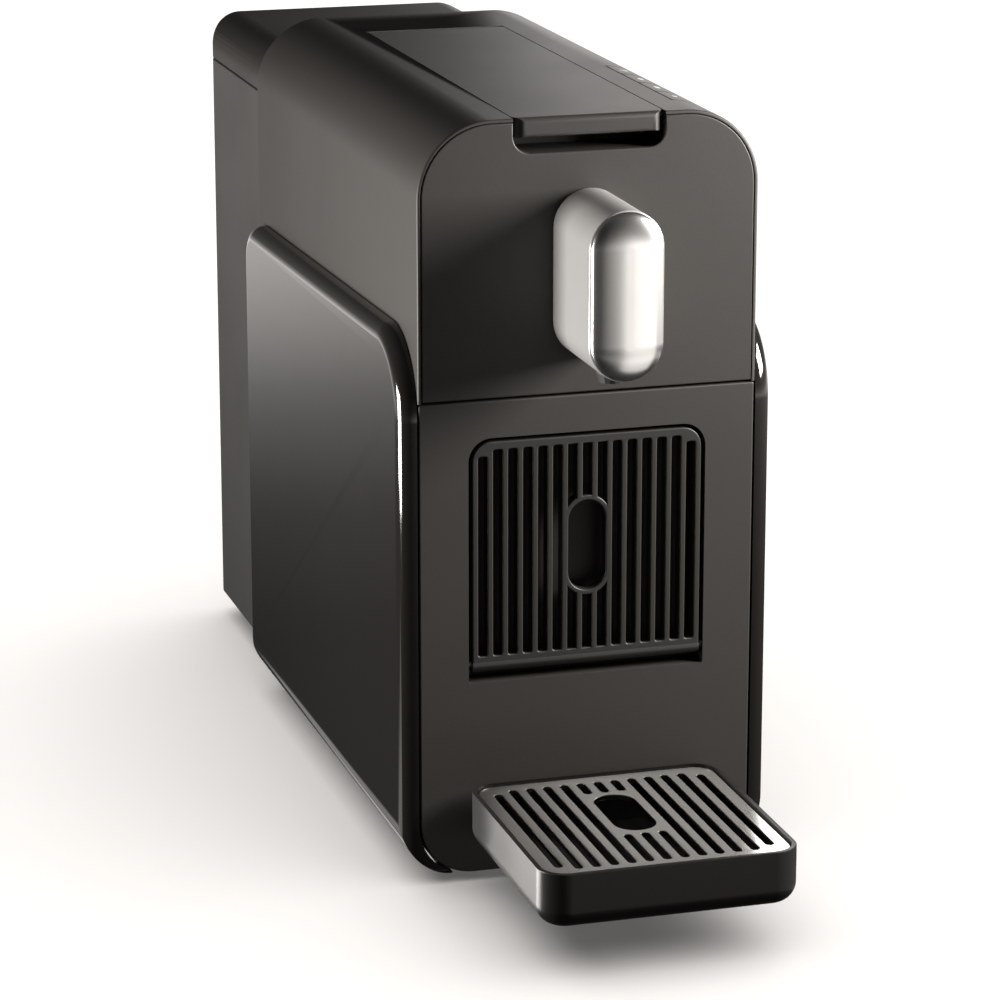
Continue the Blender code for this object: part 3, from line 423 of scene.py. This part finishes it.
def soften(piece, width, segments=3, above=38):
    """Rounds what sharp edges are left, as a mould does."""
    step = piece.modifiers.new("soften", "BEVEL")
    step.width = width
    step.segments = segments
    step.limit_method = "ANGLE"
    step.angle_limit = math.radians(above)
    step.use_clamp_overlap = True
    step.miter_outer = "MITER_ARC"
    return settle(piece)


def fit(piece, finish, body, slot, *stands_for):
    """Paints, shades and mounts a finished piece."""
    piece.data.materials.clear()
    piece.data.materials.append(finish)
    for face in piece.data.polygons:
        face.material_index = 0
    piece.data.shade_smooth()
    piece.data.set_sharp_from_angle(angle=math.radians(38))
    weigh = piece.modifiers.new("shading", "WEIGHTED_NORMAL")
    weigh.keep_sharp = True
    settle(piece)
    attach(piece, body)
    if stands_for:
        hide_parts(*stands_for)
    return piece


def on_shoulder(across, out):
    """From across the key row and out from the shoulder's centre to X and Z."""
    return (HALF - SHOULDER + across * math.cos(KEY_TILT) + out * math.sin(KEY_TILT),
            TOP - SHOULDER - across * math.sin(KEY_TILT) + out * math.cos(KEY_TILT))


shell_outside = arch(HALF, SHELL_LOW, TOP, SHOULDER)
shell_inside = arch(HALF - WALL, SHELL_LOW, TOP - WALL, SHOULDER - WALL)
shell = plate("shell", [shell_outside + shell_inside[::-1]], "y", FRONT, BACK, RIM)
rebate = arch(HALF - LIP, SEAM, TOP - LIP, SHOULDER - LIP)
key_window = [on_shoulder(-WINDOW_HALF, WINDOW_IN), on_shoulder(WINDOW_HALF, WINDOW_IN),
              on_shoulder(WINDOW_HALF, WINDOW_OUT), on_shoulder(-WINDOW_HALF, WINDOW_OUT)]
carve(shell, [
    plate("rebate", [rebate], "y", FRONT - PAST, FRONT + REBATE_DEPTH),
    box_piece("step", (-WIDE, FRONT - PAST, 0.0), (WIDE, FRONT + STEP_DEPTH, SEAM)),
    box_piece("lid_opening", (-OPENING, FRONT - PAST, TOP - LID_ROOM), (OPENING, LID_END, TOP + 2 * PAST)),
    plate("key_window", [key_window], "y", KEY_FIRST - WINDOW_END, KEY_FIRST + 3 * KEY_PITCH + WINDOW_END),
])
soften(shell, 0.00022, 2, 50)
fit(shell, shell_plastic, "body", "body_matte", "main_shell")


# ---- Front fascia ------------------------------------------------------------------------------
# The flat plate inside the shell's lip, moulded in the same plastic. Its notch gives a finger room
# under the lid's edge, and snap hooks hold it from behind.

NOTCH_FLOOR = 0.2483
NOTCH_R = 0.0060
POCKET_BACK = -0.0995
POCKET_TOP = 0.2565
POCKET_WALL = 0.0015
FASCIA_GAP = 0.0003
FASCIA_THICK = 0.0030
FASCIA_EDGE = 0.0005
HAIR = 0.0001

plate_half = HALF - LIP - FASCIA_GAP
plate_top = TOP - LIP - FASCIA_GAP
plate_r = SHOULDER - LIP - FASCIA_GAP
shoulder = [(plate_half, SEAM + SEAM_GAP)]
shoulder += arc((plate_half - plate_r, plate_top - plate_r), plate_r, 0, 90, 18)
notch = [(OPENING, plate_top)] + arc((OPENING - NOTCH_R, NOTCH_FLOOR + NOTCH_R), NOTCH_R, 0, -90, 8)
mirrored = [(-u, v) for u, v in (shoulder + notch)[::-1]]
fascia = plate("fascia", [shoulder + notch + mirrored], "y", FRONT, FRONT + FASCIA_THICK, FASCIA_EDGE)
pocket = box_piece("pocket", (-OPENING - POCKET_WALL, FRONT + POCKET_WALL, NOTCH_FLOOR - POCKET_WALL),
                   (OPENING + POCKET_WALL, POCKET_BACK + POCKET_WALL, POCKET_TOP))
finger_room = round_box((-OPENING - HAIR, NOTCH_FLOOR - HAIR), (OPENING + HAIR, TOP + PAST),
                        (NOTCH_R, NOTCH_R, 0, 0))
carve(pocket, [plate("finger_room", [finger_room], "y", FRONT - PAST, POCKET_BACK)])
carve(fascia, [pocket], "UNION")
fit(fascia, shell_plastic, "body", "body_matte", "front_fascia")


# ---- Side panels -------------------------------------------------------------------------------
# Two clip-on covers in piano black: polished ABS, with a large soft edge all round and a lower edge
# that rolls in under the machine.

(PANEL_IN, _, _), (PANEL_OUT, PANEL_BACK, PANEL_HIGH) = place_of("side_panel_right")
PANEL_LOW = 0.0030
PANEL_FALL = 0.0055
PANEL_ROUND = 0.0055
PANEL_CORNERS = (0.0020, 0.0180, 0.0140, 0.0290)
ROLL_R = 0.0200
ROLL_IN_R = 0.0185
ROOM_GAP = 0.0003
HIGH_UP = 0.3000
ALL_ALONG = 0.2000


def piano_black(name):
    """Polished black plastic under a clear coat, with faint ripple and wiping haze."""
    finish, tree, shader = new_finish(name, (0.010, 0.009, 0.008), 0.10)
    shader.inputs["Coat Weight"].default_value = 0.6
    shader.inputs["Coat Roughness"].default_value = 0.03
    swing(tree, grain(tree, 30.0, 5.0), 0.06, 0.14, shader.inputs["Roughness"])
    raise_grain(tree, grain(tree, 55.0), 0.00002, shader)
    return finish


def round_rims(piece, rims):
    """Rounds the sharp edges that lie at a distance from the middle along an axis, one row for each rim."""
    form = bmesh.new()
    form.from_mesh(piece.data)
    for axis, distance, width, segments in rims:
        rim = [e for e in form.edges if all(abs(abs(v.co[axis]) - distance) < 1e-5 for v in e.verts)
               and e.is_manifold and e.calc_face_angle() > 0.8]
        bmesh.ops.bevel(form, geom=rim, offset=width, segments=segments, profile=0.5, affect="EDGES")
    form.to_mesh(piece.data)
    form.free()


def falling(u, v):
    """The panel's outline falls towards the rear, the more the higher it is."""
    return u, v - PANEL_FALL * (u - FRONT) / (BACK - FRONT) * v / PANEL_HIGH


panel_gloss = piano_black("panel_gloss")
panel_outline = round_box((FRONT, PANEL_LOW), (PANEL_BACK, PANEL_HIGH), PANEL_CORNERS, 20)
panel_outline = [falling(u, v) for u, v in panel_outline]
rolled = round_box((-PANEL_OUT, PANEL_LOW + HAIR), (PANEL_OUT, HIGH_UP), (ROLL_R, ROLL_R, 0, 0), 20)
room = round_box((-HALF - ROOM_GAP, PANEL_LOW - ROOM_GAP), (HALF + ROOM_GAP, HIGH_UP),
                 (ROLL_IN_R, ROLL_IN_R, 0, 0), 14)
for word, low, high in (("left", -PANEL_OUT, -PANEL_IN), ("right", PANEL_IN, PANEL_OUT)):
    panel = plate("gloss_panel_" + word, [panel_outline], "x", low, high)
    round_rims(panel, [(0, PANEL_OUT, PANEL_ROUND, 8)])
    carve(panel, [plate("roll", [rolled], "y", -ALL_ALONG, ALL_ALONG)], "INTERSECT")
    carve(panel, [plate("room", [room], "y", -ALL_ALONG, ALL_ALONG)])
    fit(panel, panel_gloss, "body", "panel_gloss", "side_panel_" + word)


# ---- Lid ---------------------------------------------------------------------------------------
# The lever over the pod slot: a flat moulding flush with the top, with a deep front lip to pull on
# and a rolled barrel at the back that turns on a steel pin.

LID_HALF = place_of("lid")[1][0]
PIN_LOW, PIN_HIGH = place_of("lid_pin")
AXIS_Y = (PIN_LOW[1] + PIN_HIGH[1]) / 2
AXIS_Z = (PIN_LOW[2] + PIN_HIGH[2]) / 2
PIN_BORE = 0.0014
BARREL = 0.0026
LID_THICK = 0.0065
LIP_DEEP = 0.0142
LIP_SLOPE = 0.0030
LIP_R = 0.0012
BROW_R = 0.0020
LID_CORNER = 0.0050

lid_low = TOP - LID_THICK
lid_side = arc((FRONT + LIP_R, lid_low + LIP_R), LIP_R, 180, 270, 5)
lid_side += [(FRONT + LIP_DEEP, lid_low), (FRONT + LIP_DEEP + LIP_SLOPE, AXIS_Z)]
lid_side += arc((AXIS_Y, AXIS_Z), BARREL, 180, 450, 24)
lid_side += arc((FRONT + BROW_R, TOP - BROW_R), BROW_R, 90, 180, 8)
pin_bore = arc((AXIS_Y, AXIS_Z), PIN_BORE, 0, 360, 16)[:-1]
lid = plate("lid_shell", [lid_side, pin_bore], "x", -LID_HALF, LID_HALF)
lid_plan = round_box((-LID_HALF, FRONT - HAIR), (LID_HALF, LID_END + PAST),
                     (LID_CORNER, LID_CORNER, 0, 0), 10)
carve(lid, [plate("plan", [lid_plan], "z", lid_low - PAST, TOP + PAST)], "INTERSECT")
soften(lid, 0.0003, 2, 45)
fit(lid, shell_plastic, "lid", "body_matte", "lid")


# ---- Keys --------------------------------------------------------------------------------------
# Four caps in the shell's plastic that follow the shoulder, each with a small printed sign: a short
# cup, a long cup, a drop and a bar, in pale ink.

KEY_HALF = 0.0056
KEY_LENGTH = 0.0167
KEY_IN = 0.0212
KEY_STEPS = 12
SIGN_IN = 0.0018
SIGN_SUNK = 0.00015
SIGN_PROUD = 0.00003

ink = new_finish("pale_ink", (0.62, 0.60, 0.56), 0.45)[0]
signs = (
    [(-0.0011, 0.0010), (-0.0007, -0.0009), (0.0007, -0.0009), (0.0011, 0.0010)],
    [(-0.0011, 0.0017), (-0.0008, -0.0014), (0.0008, -0.0014), (0.0011, 0.0017)],
    [(0.0, 0.0018)] + arc((0.0, -0.0004), 0.0011, 150, 390, 14),
    round_box((-0.0015, -0.0005), (0.0015, 0.0005), 0.0005, 5),
)
key_side = [on_shoulder(-KEY_HALF, KEY_IN), on_shoulder(KEY_HALF, KEY_IN)]
for step in range(KEY_STEPS + 1):
    across = KEY_HALF * (1 - 2 * step / KEY_STEPS)
    key_side.append(on_shoulder(across, math.sqrt(SHOULDER ** 2 - across ** 2)))
sign_x, sign_z = on_shoulder(-SIGN_IN, math.sqrt(SHOULDER ** 2 - SIGN_IN ** 2))
sign_lean = KEY_TILT - math.asin(SIGN_IN / SHOULDER)
for number, sign_outline in enumerate(signs, 1):
    y = KEY_FIRST + (number - 1) * KEY_PITCH
    key = plate("key_cap_%d" % number, [key_side], "y", y - KEY_LENGTH / 2, y + KEY_LENGTH / 2)
    soften(key, 0.00025, 2, 40)
    fit(key, shell_plastic, "key_%d" % number, "key_matte", "button_%d" % number)
    sign = plate("key_sign_%d" % number, [sign_outline], "z", -SIGN_SUNK, SIGN_PROUD)
    sign.data.transform(Matrix.Translation((sign_x, y, sign_z)) @ Matrix.Rotation(sign_lean, 4, "Y"))
    fit(sign, ink, "key_%d" % number, "key_matte")


# ---- Spout -------------------------------------------------------------------------------------
# A chrome-plated sleeve on the fascia with a pillow-shaped chromed cap that plugs and covers its
# mouth. The coffee leaves through the dark nozzle below.

(_, SPOUT_FRONT, SPOUT_LOW), (SPOUT_HALF, _, SPOUT_HIGH) = place_of("spout_housing")
SPOUT_Z = (SPOUT_LOW + SPOUT_HIGH) / 2
SPOUT_TALL = (SPOUT_HIGH - SPOUT_LOW) / 2
SLEEVE_WALL = 0.0012
SLEEVE_EDGE = 0.0005
PILLOW_GAP = 0.0004
PLUG_GAP = 0.0011
PLUG_DEEP = 0.0030
CROWN_START = 0.0004
CROWN_IN = 0.0112
CROWN_RISE = 0.0034
CROWN_STEPS = 15


def stadium(centre, half_u, half_v, steps=24):
    """An upright slot with round ends."""
    u, v = centre
    rise = half_v - half_u
    return arc((u, v + rise), half_u, 0, 180, steps) + arc((u, v - rise), half_u, 180, 360, steps)


def plated(name, colour, roughness, metallic):
    """Plated plastic: a bright skin whose gloss clouds a little."""
    finish, tree, shader = new_finish(name, colour, roughness, metallic)
    swing(tree, grain(tree, 90.0, 4.0), roughness - 0.03, roughness + 0.03, shader.inputs["Roughness"])
    return finish


sleeve_outlines = [stadium((0, SPOUT_Z), SPOUT_HALF, SPOUT_TALL),
                   stadium((0, SPOUT_Z), SPOUT_HALF - SLEEVE_WALL, SPOUT_TALL - SLEEVE_WALL)]
sleeve = plate("spout_sleeve", sleeve_outlines, "y", SPOUT_FRONT, FRONT - FASCIA_GAP, SLEEVE_EDGE)
fit(sleeve, plated("pearl_chrome", (0.64, 0.63, 0.615), 0.26, 0.45), "body", "chrome", "spout_housing")

# The cap as inset from its rim against height in front of the sleeve: a plug, then a full crown
profile = [(PLUG_GAP, -PLUG_DEEP), (PLUG_GAP, HAIR), (0.0, HAIR)]
for step in range(CROWN_STEPS + 1):
    angle = math.radians(90 * step / CROWN_STEPS)
    profile.append((CROWN_IN * (1 - math.cos(angle)), CROWN_START + CROWN_RISE * math.sin(angle)))
form = bmesh.new()
rings = []
for inset, rise in profile:
    ring = stadium((0, SPOUT_Z), SPOUT_HALF - PILLOW_GAP - inset, SPOUT_TALL - PILLOW_GAP - inset)
    rings.append([form.verts.new((u, SPOUT_FRONT - rise, v)) for u, v in ring])
for before, after in zip(rings, rings[1:]):
    for i in range(len(before)):
        j = (i + 1) % len(before)
        form.faces.new((before[i], before[j], after[j], after[i]))
form.faces.new(rings[-1])
form.faces.new(rings[0][::-1])
cap = formed("spout_pillow", form)
fit(cap, plated("bright_chrome", (0.93, 0.915, 0.895), 0.24, 1.0), "body", "chrome", "spout_cap")
lit_alone(soft_light("cap_card", (0.42, -0.75, -0.12), (0.0, -0.158, 0.208), 0.56, 0.60, 0.75), cap)


# ---- Drawer front ------------------------------------------------------------------------------
# The lower front, moulded like the fascia above it, with a shallow recess that the cup shelf closes
# into. It pulls out with the pod bin and the drip tray.

(_, _, DRAWER_LOW), (DRAWER_HALF, _, DRAWER_HIGH) = place_of("drawer_front")
DRAWER_THICK = 0.0040
DRAWER_EDGE = 0.0005
DRAWER_CORNERS = (ROLL_IN_R, ROLL_IN_R, 0.0008, 0.0008)
RECESS_HALF = 0.0412
RECESS_LOW = 0.0702
RECESS_HIGH = 0.1544
RECESS_DEPTH = 0.0088
RECESS_CORNERS = (0.0006, 0.0006, 0.0080, 0.0080)
TUB_HALF = 0.0452
TUB_START = 0.0030
TUB_WALL = 0.0022
TUB_FLOOR = 0.0016

drawer_outline = round_box((-DRAWER_HALF, DRAWER_LOW), (DRAWER_HALF, DRAWER_HIGH), DRAWER_CORNERS, 14)
drawer = plate("drawer_face", [drawer_outline], "y", FRONT, FRONT + DRAWER_THICK, DRAWER_EDGE)
tub = box_piece("tub", (-TUB_HALF, FRONT + TUB_START, RECESS_LOW - TUB_WALL),
                (TUB_HALF, FRONT + RECESS_DEPTH + TUB_FLOOR, RECESS_HIGH + TUB_WALL))
carve(drawer, [tub], "UNION")
recess = round_box((-RECESS_HALF, RECESS_LOW), (RECESS_HALF, RECESS_HIGH), RECESS_CORNERS, 12)
carve(drawer, [plate("recess", [recess], "y", FRONT - PAST, FRONT + RECESS_DEPTH)])
soften(drawer, 0.0003, 2, 50)
fit(drawer, shell_plastic, "drawer", "body_matte", "drawer_front")


# ---- Cup shelf ---------------------------------------------------------------------------------
# A slotted flap that folds down to hold a small cup, in satin black plastic, with an oval hole that
# lets drips through and a round knuckle along its hinge.

SHELF_HALF, _, SHELF_HIGH = place_of("cup_shelf")[1]
HINGE_LOW, HINGE_HIGH = place_of("shelf_pin")
SHELF_Y = (HINGE_LOW[1] + HINGE_HIGH[1]) / 2
SHELF_Z = (HINGE_LOW[2] + HINGE_HIGH[2]) / 2
SHELF_THICK = 0.0050
SHELF_CORNER = 0.0066
SHELF_EDGE = 0.00045
KNUCKLE_PROUD = 0.0003
KNUCKLE_RISE = 0.0010
KNUCKLE_EDGE = 0.0002
SHELF_SLOTS = range(-7, 8)
END_DROP = 0.0022
SHELF_PITCH = 0.00517
SHELF_SLOT = 0.0032
SLOT_CORNER = 0.0008
SLOT_LOW = 0.0792
SLOT_HIGH = 0.1502
OVAL_Z = 0.1150
OVAL_HALF = 0.0066
OVAL_TALL = 0.0156
RING = 0.0017

flap_plastic = spark_textured("flap_plastic", (0.024, 0.0225, 0.0205), 0.46, 0.00040, 0.00001)
shelf_plan = round_box((-SHELF_HALF, SHELF_Z), (SHELF_HALF, SHELF_HIGH), (0, 0, SHELF_CORNER, SHELF_CORNER))
shelf_outlines = [shelf_plan, stadium((0, OVAL_Z), OVAL_HALF, OVAL_TALL, 14)]
for number in SHELF_SLOTS:
    u = number * SHELF_PITCH
    half = SHELF_SLOT / 2
    if abs(number) > 1:
        drop = END_DROP if number in (SHELF_SLOTS[0], SHELF_SLOTS[-1]) else 0.0
        shelf_outlines.append(round_box((u - half, SLOT_LOW), (u + half, SLOT_HIGH - drop), SLOT_CORNER, 4))
        continue
    for sign, end in ((1, SLOT_HIGH), (-1, SLOT_LOW)):
        run = []
        for i in range(9):
            across = u + half * (i / 4 - 1)
            rise = OVAL_TALL - OVAL_HALF + math.sqrt((OVAL_HALF + RING) ** 2 - across ** 2)
            run.append((across, OVAL_Z + sign * rise))
        run += [(u + half, end), (u - half, end)]
        shelf_outlines.append(run if sign > 0 else run[::-1])
shelf_front = SHELF_Y - SHELF_THICK / 2
shelf_back = SHELF_Y + SHELF_THICK / 2
flap = plate("shelf_flap", shelf_outlines, "y", shelf_front, shelf_back, SHELF_EDGE)
knuckle = arc((SHELF_Y, SHELF_Z), SHELF_THICK / 2 + KNUCKLE_PROUD, 180, 360, 18)
knuckle += [(shelf_back, SHELF_Z + KNUCKLE_RISE), (shelf_front, SHELF_Z + KNUCKLE_RISE)]
carve(flap, [plate("knuckle", [knuckle], "x", -SHELF_HALF, SHELF_HALF, KNUCKLE_EDGE)], "UNION")
fit(flap, flap_plastic, "shelf", "grille_matte", "cup_shelf")


# ---- Drip tray ---------------------------------------------------------------------------------
# A deep satin black tray with a rolled-in lower edge and a thin step inside its rim, where the steel
# grid sits. It slides off its bracket towards the front.

(_, TRAY_FRONT, TRAY_LOW), (TRAY_HALF, TRAY_BACK, TRAY_TOP) = place_of("drip_tray")
(_, _, GRID_LOW), (GRID_HALF, _, GRID_TOP) = place_of("drip_grid")
TRAY_R = 0.0095
TRAY_ROLL = 0.0065
TRAY_RIM = 0.0004
STEP_IN = 0.0016
STEP_GAP = 0.0003
TRAY_WALL = 0.0034
TRAY_FLOOR = 0.0022

tray_black, tray_tree, tray_shader = new_finish("tray_black", (0.012, 0.011, 0.010), 0.30)
swing(tray_tree, grain(tray_tree, 45.0, 5.0), 0.26, 0.36, tray_shader.inputs["Roughness"])


def tray_outline(inset, steps):
    """The tray's plan, drawn in from its outside by the inset."""
    return round_box((inset - TRAY_HALF, TRAY_FRONT + inset), (TRAY_HALF - inset, TRAY_BACK - inset),
                     TRAY_R - inset, steps)


tray = plate("tray_tub", [tray_outline(0.0, 14)], "z", TRAY_LOW, TRAY_TOP)
round_rims(tray, [(2, TRAY_LOW, TRAY_ROLL, 8), (2, TRAY_TOP, TRAY_RIM, 2)])
carve(tray, [plate("step", [tray_outline(STEP_IN, 12)], "z", GRID_LOW - STEP_GAP, TRAY_TOP + PAST),
             plate("hollow", [tray_outline(TRAY_WALL, 12)], "z", TRAY_LOW + TRAY_FLOOR, TRAY_TOP + PAST)])
soften(tray, 0.0002, 2, 60)
fit(tray, tray_black, "tray", "tray_gloss", "drip_tray")
lit_alone(soft_light("tray_card", (-0.38, 0.20, -0.12), (-0.0436, -0.17, 0.027), 0.30, 0.16, 1.6), tray)


# ---- Drip grid ---------------------------------------------------------------------------------
# Satin stainless sheet, punched with slots and an oval and laid in the tray's step.

GRID_PITCH = 0.00593
GRID_SLOTS = range(-6, 7)
GRID_SLOT_HALF = 0.00135
GRID_REACH = 0.0378
GRID_END_REACH = 0.0350
GRID_EDGE = 0.00035
GRID_OVAL_Y = -0.1600
GRID_OVAL_HALF = 0.0070
GRID_OVAL_TALL = 0.0172
RING_REACH = 0.0200

# Rolled sheet: fine lines from front to back in the gloss and, faintly, in the height
grid_steel, steel_tree, steel_shader = new_finish("grid_steel", (0.46, 0.45, 0.43), 0.28, 1.0)
steel_lines = grain(steel_tree, 1.0, 3.0, stretch=(6000.0, 60.0, 60.0))
swing(steel_tree, steel_lines, 0.17, 0.23, steel_shader.inputs["Roughness"])
raise_grain(steel_tree, steel_lines, 0.000002, steel_shader)

grid_y = (TRAY_FRONT + TRAY_BACK) / 2
grid_outlines = [tray_outline(TRAY_HALF - GRID_HALF, 10),
                 stadium((0, GRID_OVAL_Y), GRID_OVAL_HALF, GRID_OVAL_TALL, 14)]
for number in GRID_SLOTS:
    u = number * GRID_PITCH
    reach = GRID_END_REACH if number in (GRID_SLOTS[0], GRID_SLOTS[-1]) else GRID_REACH
    spans = [(grid_y - reach, grid_y + reach)]
    if abs(number) <= 1:
        spans = [(grid_y - reach, GRID_OVAL_Y - RING_REACH), (GRID_OVAL_Y + RING_REACH, grid_y + reach)]
    for low, high in spans:
        grid_outlines.append(stadium((u, (low + high) / 2), GRID_SLOT_HALF, (high - low) / 2, 6))
grid = plate("tray_grid", grid_outlines, "z", GRID_LOW, GRID_TOP, GRID_EDGE, 2)
fit(grid, grid_steel, "grid", "grid_steel", "drip_grid")
leave_out(grid)
lit_alone(soft_light("grid_card", (0.12, -0.03, 0.128), (0.04, -0.20, 0.055), 0.22, 0.06, 0.28), grid)


# ---- Water tank and its lid --------------------------------------------------------------------
# A tall tank behind the machine, moulded smooth in dark smoky plastic, with a deep cap in the shell's
# plastic whose edges are rounded like the shell's shoulders.

(_, TANK_FRONT, TANK_LOW), (TANK_HALF, TANK_BACK, TANK_TOP) = place_of("water_tank")
(_, _, CAP_LOW), (_, _, CAP_TOP) = place_of("tank_lid")
TANK_CORNERS = (0.0030, 0.0030, 0.0120, 0.0120)
TANK_IN_CORNERS = (0.0015, 0.0015, 0.0100, 0.0100)
TANK_WALL = 0.0020
TANK_EDGE = 0.0008
VALVE_Y = 0.1500
DRAIN_R = 0.0042
CAP_R = 0.0140
CAP_WALL = 0.0022
CAP_HOLLOW_HALF = 0.0400
CAP_HOLLOW_R = 0.0040
CAP_SLACK = 0.00001

tank_plastic = spark_textured("tank_plastic", (0.030, 0.028, 0.026), 0.46, 0.0005, 0.000008)
tank_outline = round_box((-TANK_HALF, TANK_FRONT), (TANK_HALF, TANK_BACK), TANK_CORNERS, 12)
tank_inside = round_box((TANK_WALL - TANK_HALF, TANK_FRONT + TANK_WALL),
                        (TANK_HALF - TANK_WALL, TANK_BACK - TANK_WALL), TANK_IN_CORNERS, 12)
drain = arc((0, VALVE_Y), DRAIN_R, 0, 360, 24)[:-1]
tank = plate("tank_tub", [tank_outline], "z", TANK_LOW, TANK_TOP, TANK_EDGE)
carve(tank, [plate("room", [tank_inside], "z", TANK_LOW + TANK_WALL, TANK_TOP + PAST),
             plate("drain", [drain], "z", TANK_LOW - PAST, TANK_LOW + TANK_WALL + PAST)])
fit(tank, tank_plastic, "tank", "tank_smoke", "water_tank")

lid_cap = plate("tank_cap_shell", [tank_outline], "z", CAP_LOW, CAP_TOP)
cap_section = round_box((-TANK_HALF - CAP_SLACK, TANK_LOW), (TANK_HALF + CAP_SLACK, CAP_TOP),
                        (0, 0, CAP_R, CAP_R), 16)
carve(lid_cap, [plate("trim", [cap_section], "y", TANK_FRONT - PAST, TANK_BACK + PAST)], "INTERSECT")
soften(lid_cap, 0.0012, 4, 45)
cap_hollow = round_box((-CAP_HOLLOW_HALF, CAP_LOW + SEAM_GAP), (CAP_HOLLOW_HALF, CAP_TOP - CAP_WALL),
                       (0, 0, CAP_HOLLOW_R, CAP_HOLLOW_R), 6)
carve(lid_cap, [plate("room", [tank_inside], "z", TANK_TOP - PAST, CAP_TOP - CAP_R),
                plate("hollow", [cap_hollow], "y", TANK_FRONT + 2 * TANK_WALL, TANK_BACK - 2 * TANK_WALL)])
fit(lid_cap, shell_plastic, "tank_cap", "body_matte", "tank_lid")


# ---- Tank valve spring -------------------------------------------------------------------------
# Four turns of steel wire between the valve plunger and its cage.

SPRING_LOW = 0.0152
SPRING_RISE = 0.0098
SPRING_R = 0.0048
SPRING_TURNS = 4
SPRING_STEPS = 96
WIRE_R = 0.0005


def cast_metal(name, colour, roughness, grain_size):
    """Metal with a cast or rolled grain in its gloss and height."""
    finish, tree, shader = new_finish(name, colour, roughness, 1.0)
    grains = grain(tree, 1 / grain_size, 4.0)
    swing(tree, grains, roughness - 0.08, roughness + 0.10, shader.inputs["Roughness"])
    raise_grain(tree, grains, grain_size * 0.05, shader)
    return finish


plain_steel = cast_metal("plain_steel", (0.52, 0.51, 0.50), 0.34, 0.0004)
wire = bpy.data.curves.new("valve_coil", "CURVE")
wire.dimensions = "3D"
wire.bevel_depth = WIRE_R
wire.bevel_resolution = 3
wire.use_fill_caps = True
winding = wire.splines.new("POLY")
winding.points.add(SPRING_STEPS)
for step, point in enumerate(winding.points):
    angle = math.radians(360 * SPRING_TURNS * step / SPRING_STEPS)
    point.co = (SPRING_R * math.cos(angle), VALVE_Y + SPRING_R * math.sin(angle),
                SPRING_LOW + SPRING_RISE * step / SPRING_STEPS, 1)
coil = traced("valve_coil", wire, Matrix.Identity(4))
fit(coil, plain_steel, "tank", "steel", "valve_spring")
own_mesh(coil)


# ---- Everything else ---------------------------------------------------------------------------
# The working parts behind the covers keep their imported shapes: moulded brackets, cast and turned
# metal, hoses, seals, boards and the four rubber feet.

refinish(shell_plastic, "rear_cover", "tank_dock", "tray_bracket")
refinish(spark_textured("inner_plastic", (0.020, 0.020, 0.020), 0.55), "pod_chute", "brew_frame",
         "lid_cam", "spout_nozzle", "bin_carrier", "pod_bin")
refinish(tank_plastic, "valve_cage", "flow_meter")
refinish(plain_steel, "lid_pin", "shelf_pin", "heater_bracket", "cover_screw_1", "cover_screw_2",
         "cover_screw_3", "cover_screw_4")
refinish(cast_metal("cast_aluminium", (0.60, 0.60, 0.60), 0.42, 0.0006), "brew_chamber", "brew_piston",
         "thermoblock", "pump")
refinish(cast_metal("turned_brass", (0.62, 0.46, 0.20), 0.32, 0.0004), "brew_elbow")
refinish(spark_textured("silicone", (0.60, 0.60, 0.57), 0.45, 0.0008, 0.00001, 0.03), "piston_seal",
         "dock_seal", "tank_valve", "outlet_tube", "tank_hose", "pump_inlet_hose", "pump_outlet_hose",
         "brew_hose")
refinish(spark_textured("black_rubber", (0.014, 0.014, 0.014), 0.80, 0.0005, 0.00003),
         "pump_mount_front", "pump_mount_rear", "cord_gland", "foot_front_left", "foot_front_right",
         "foot_rear_left", "foot_rear_right")
refinish(spark_textured("circuit_board", (0.015, 0.10, 0.045), 0.40, 0.0012, 0.00002, 0.25),
         "button_board", "main_board")
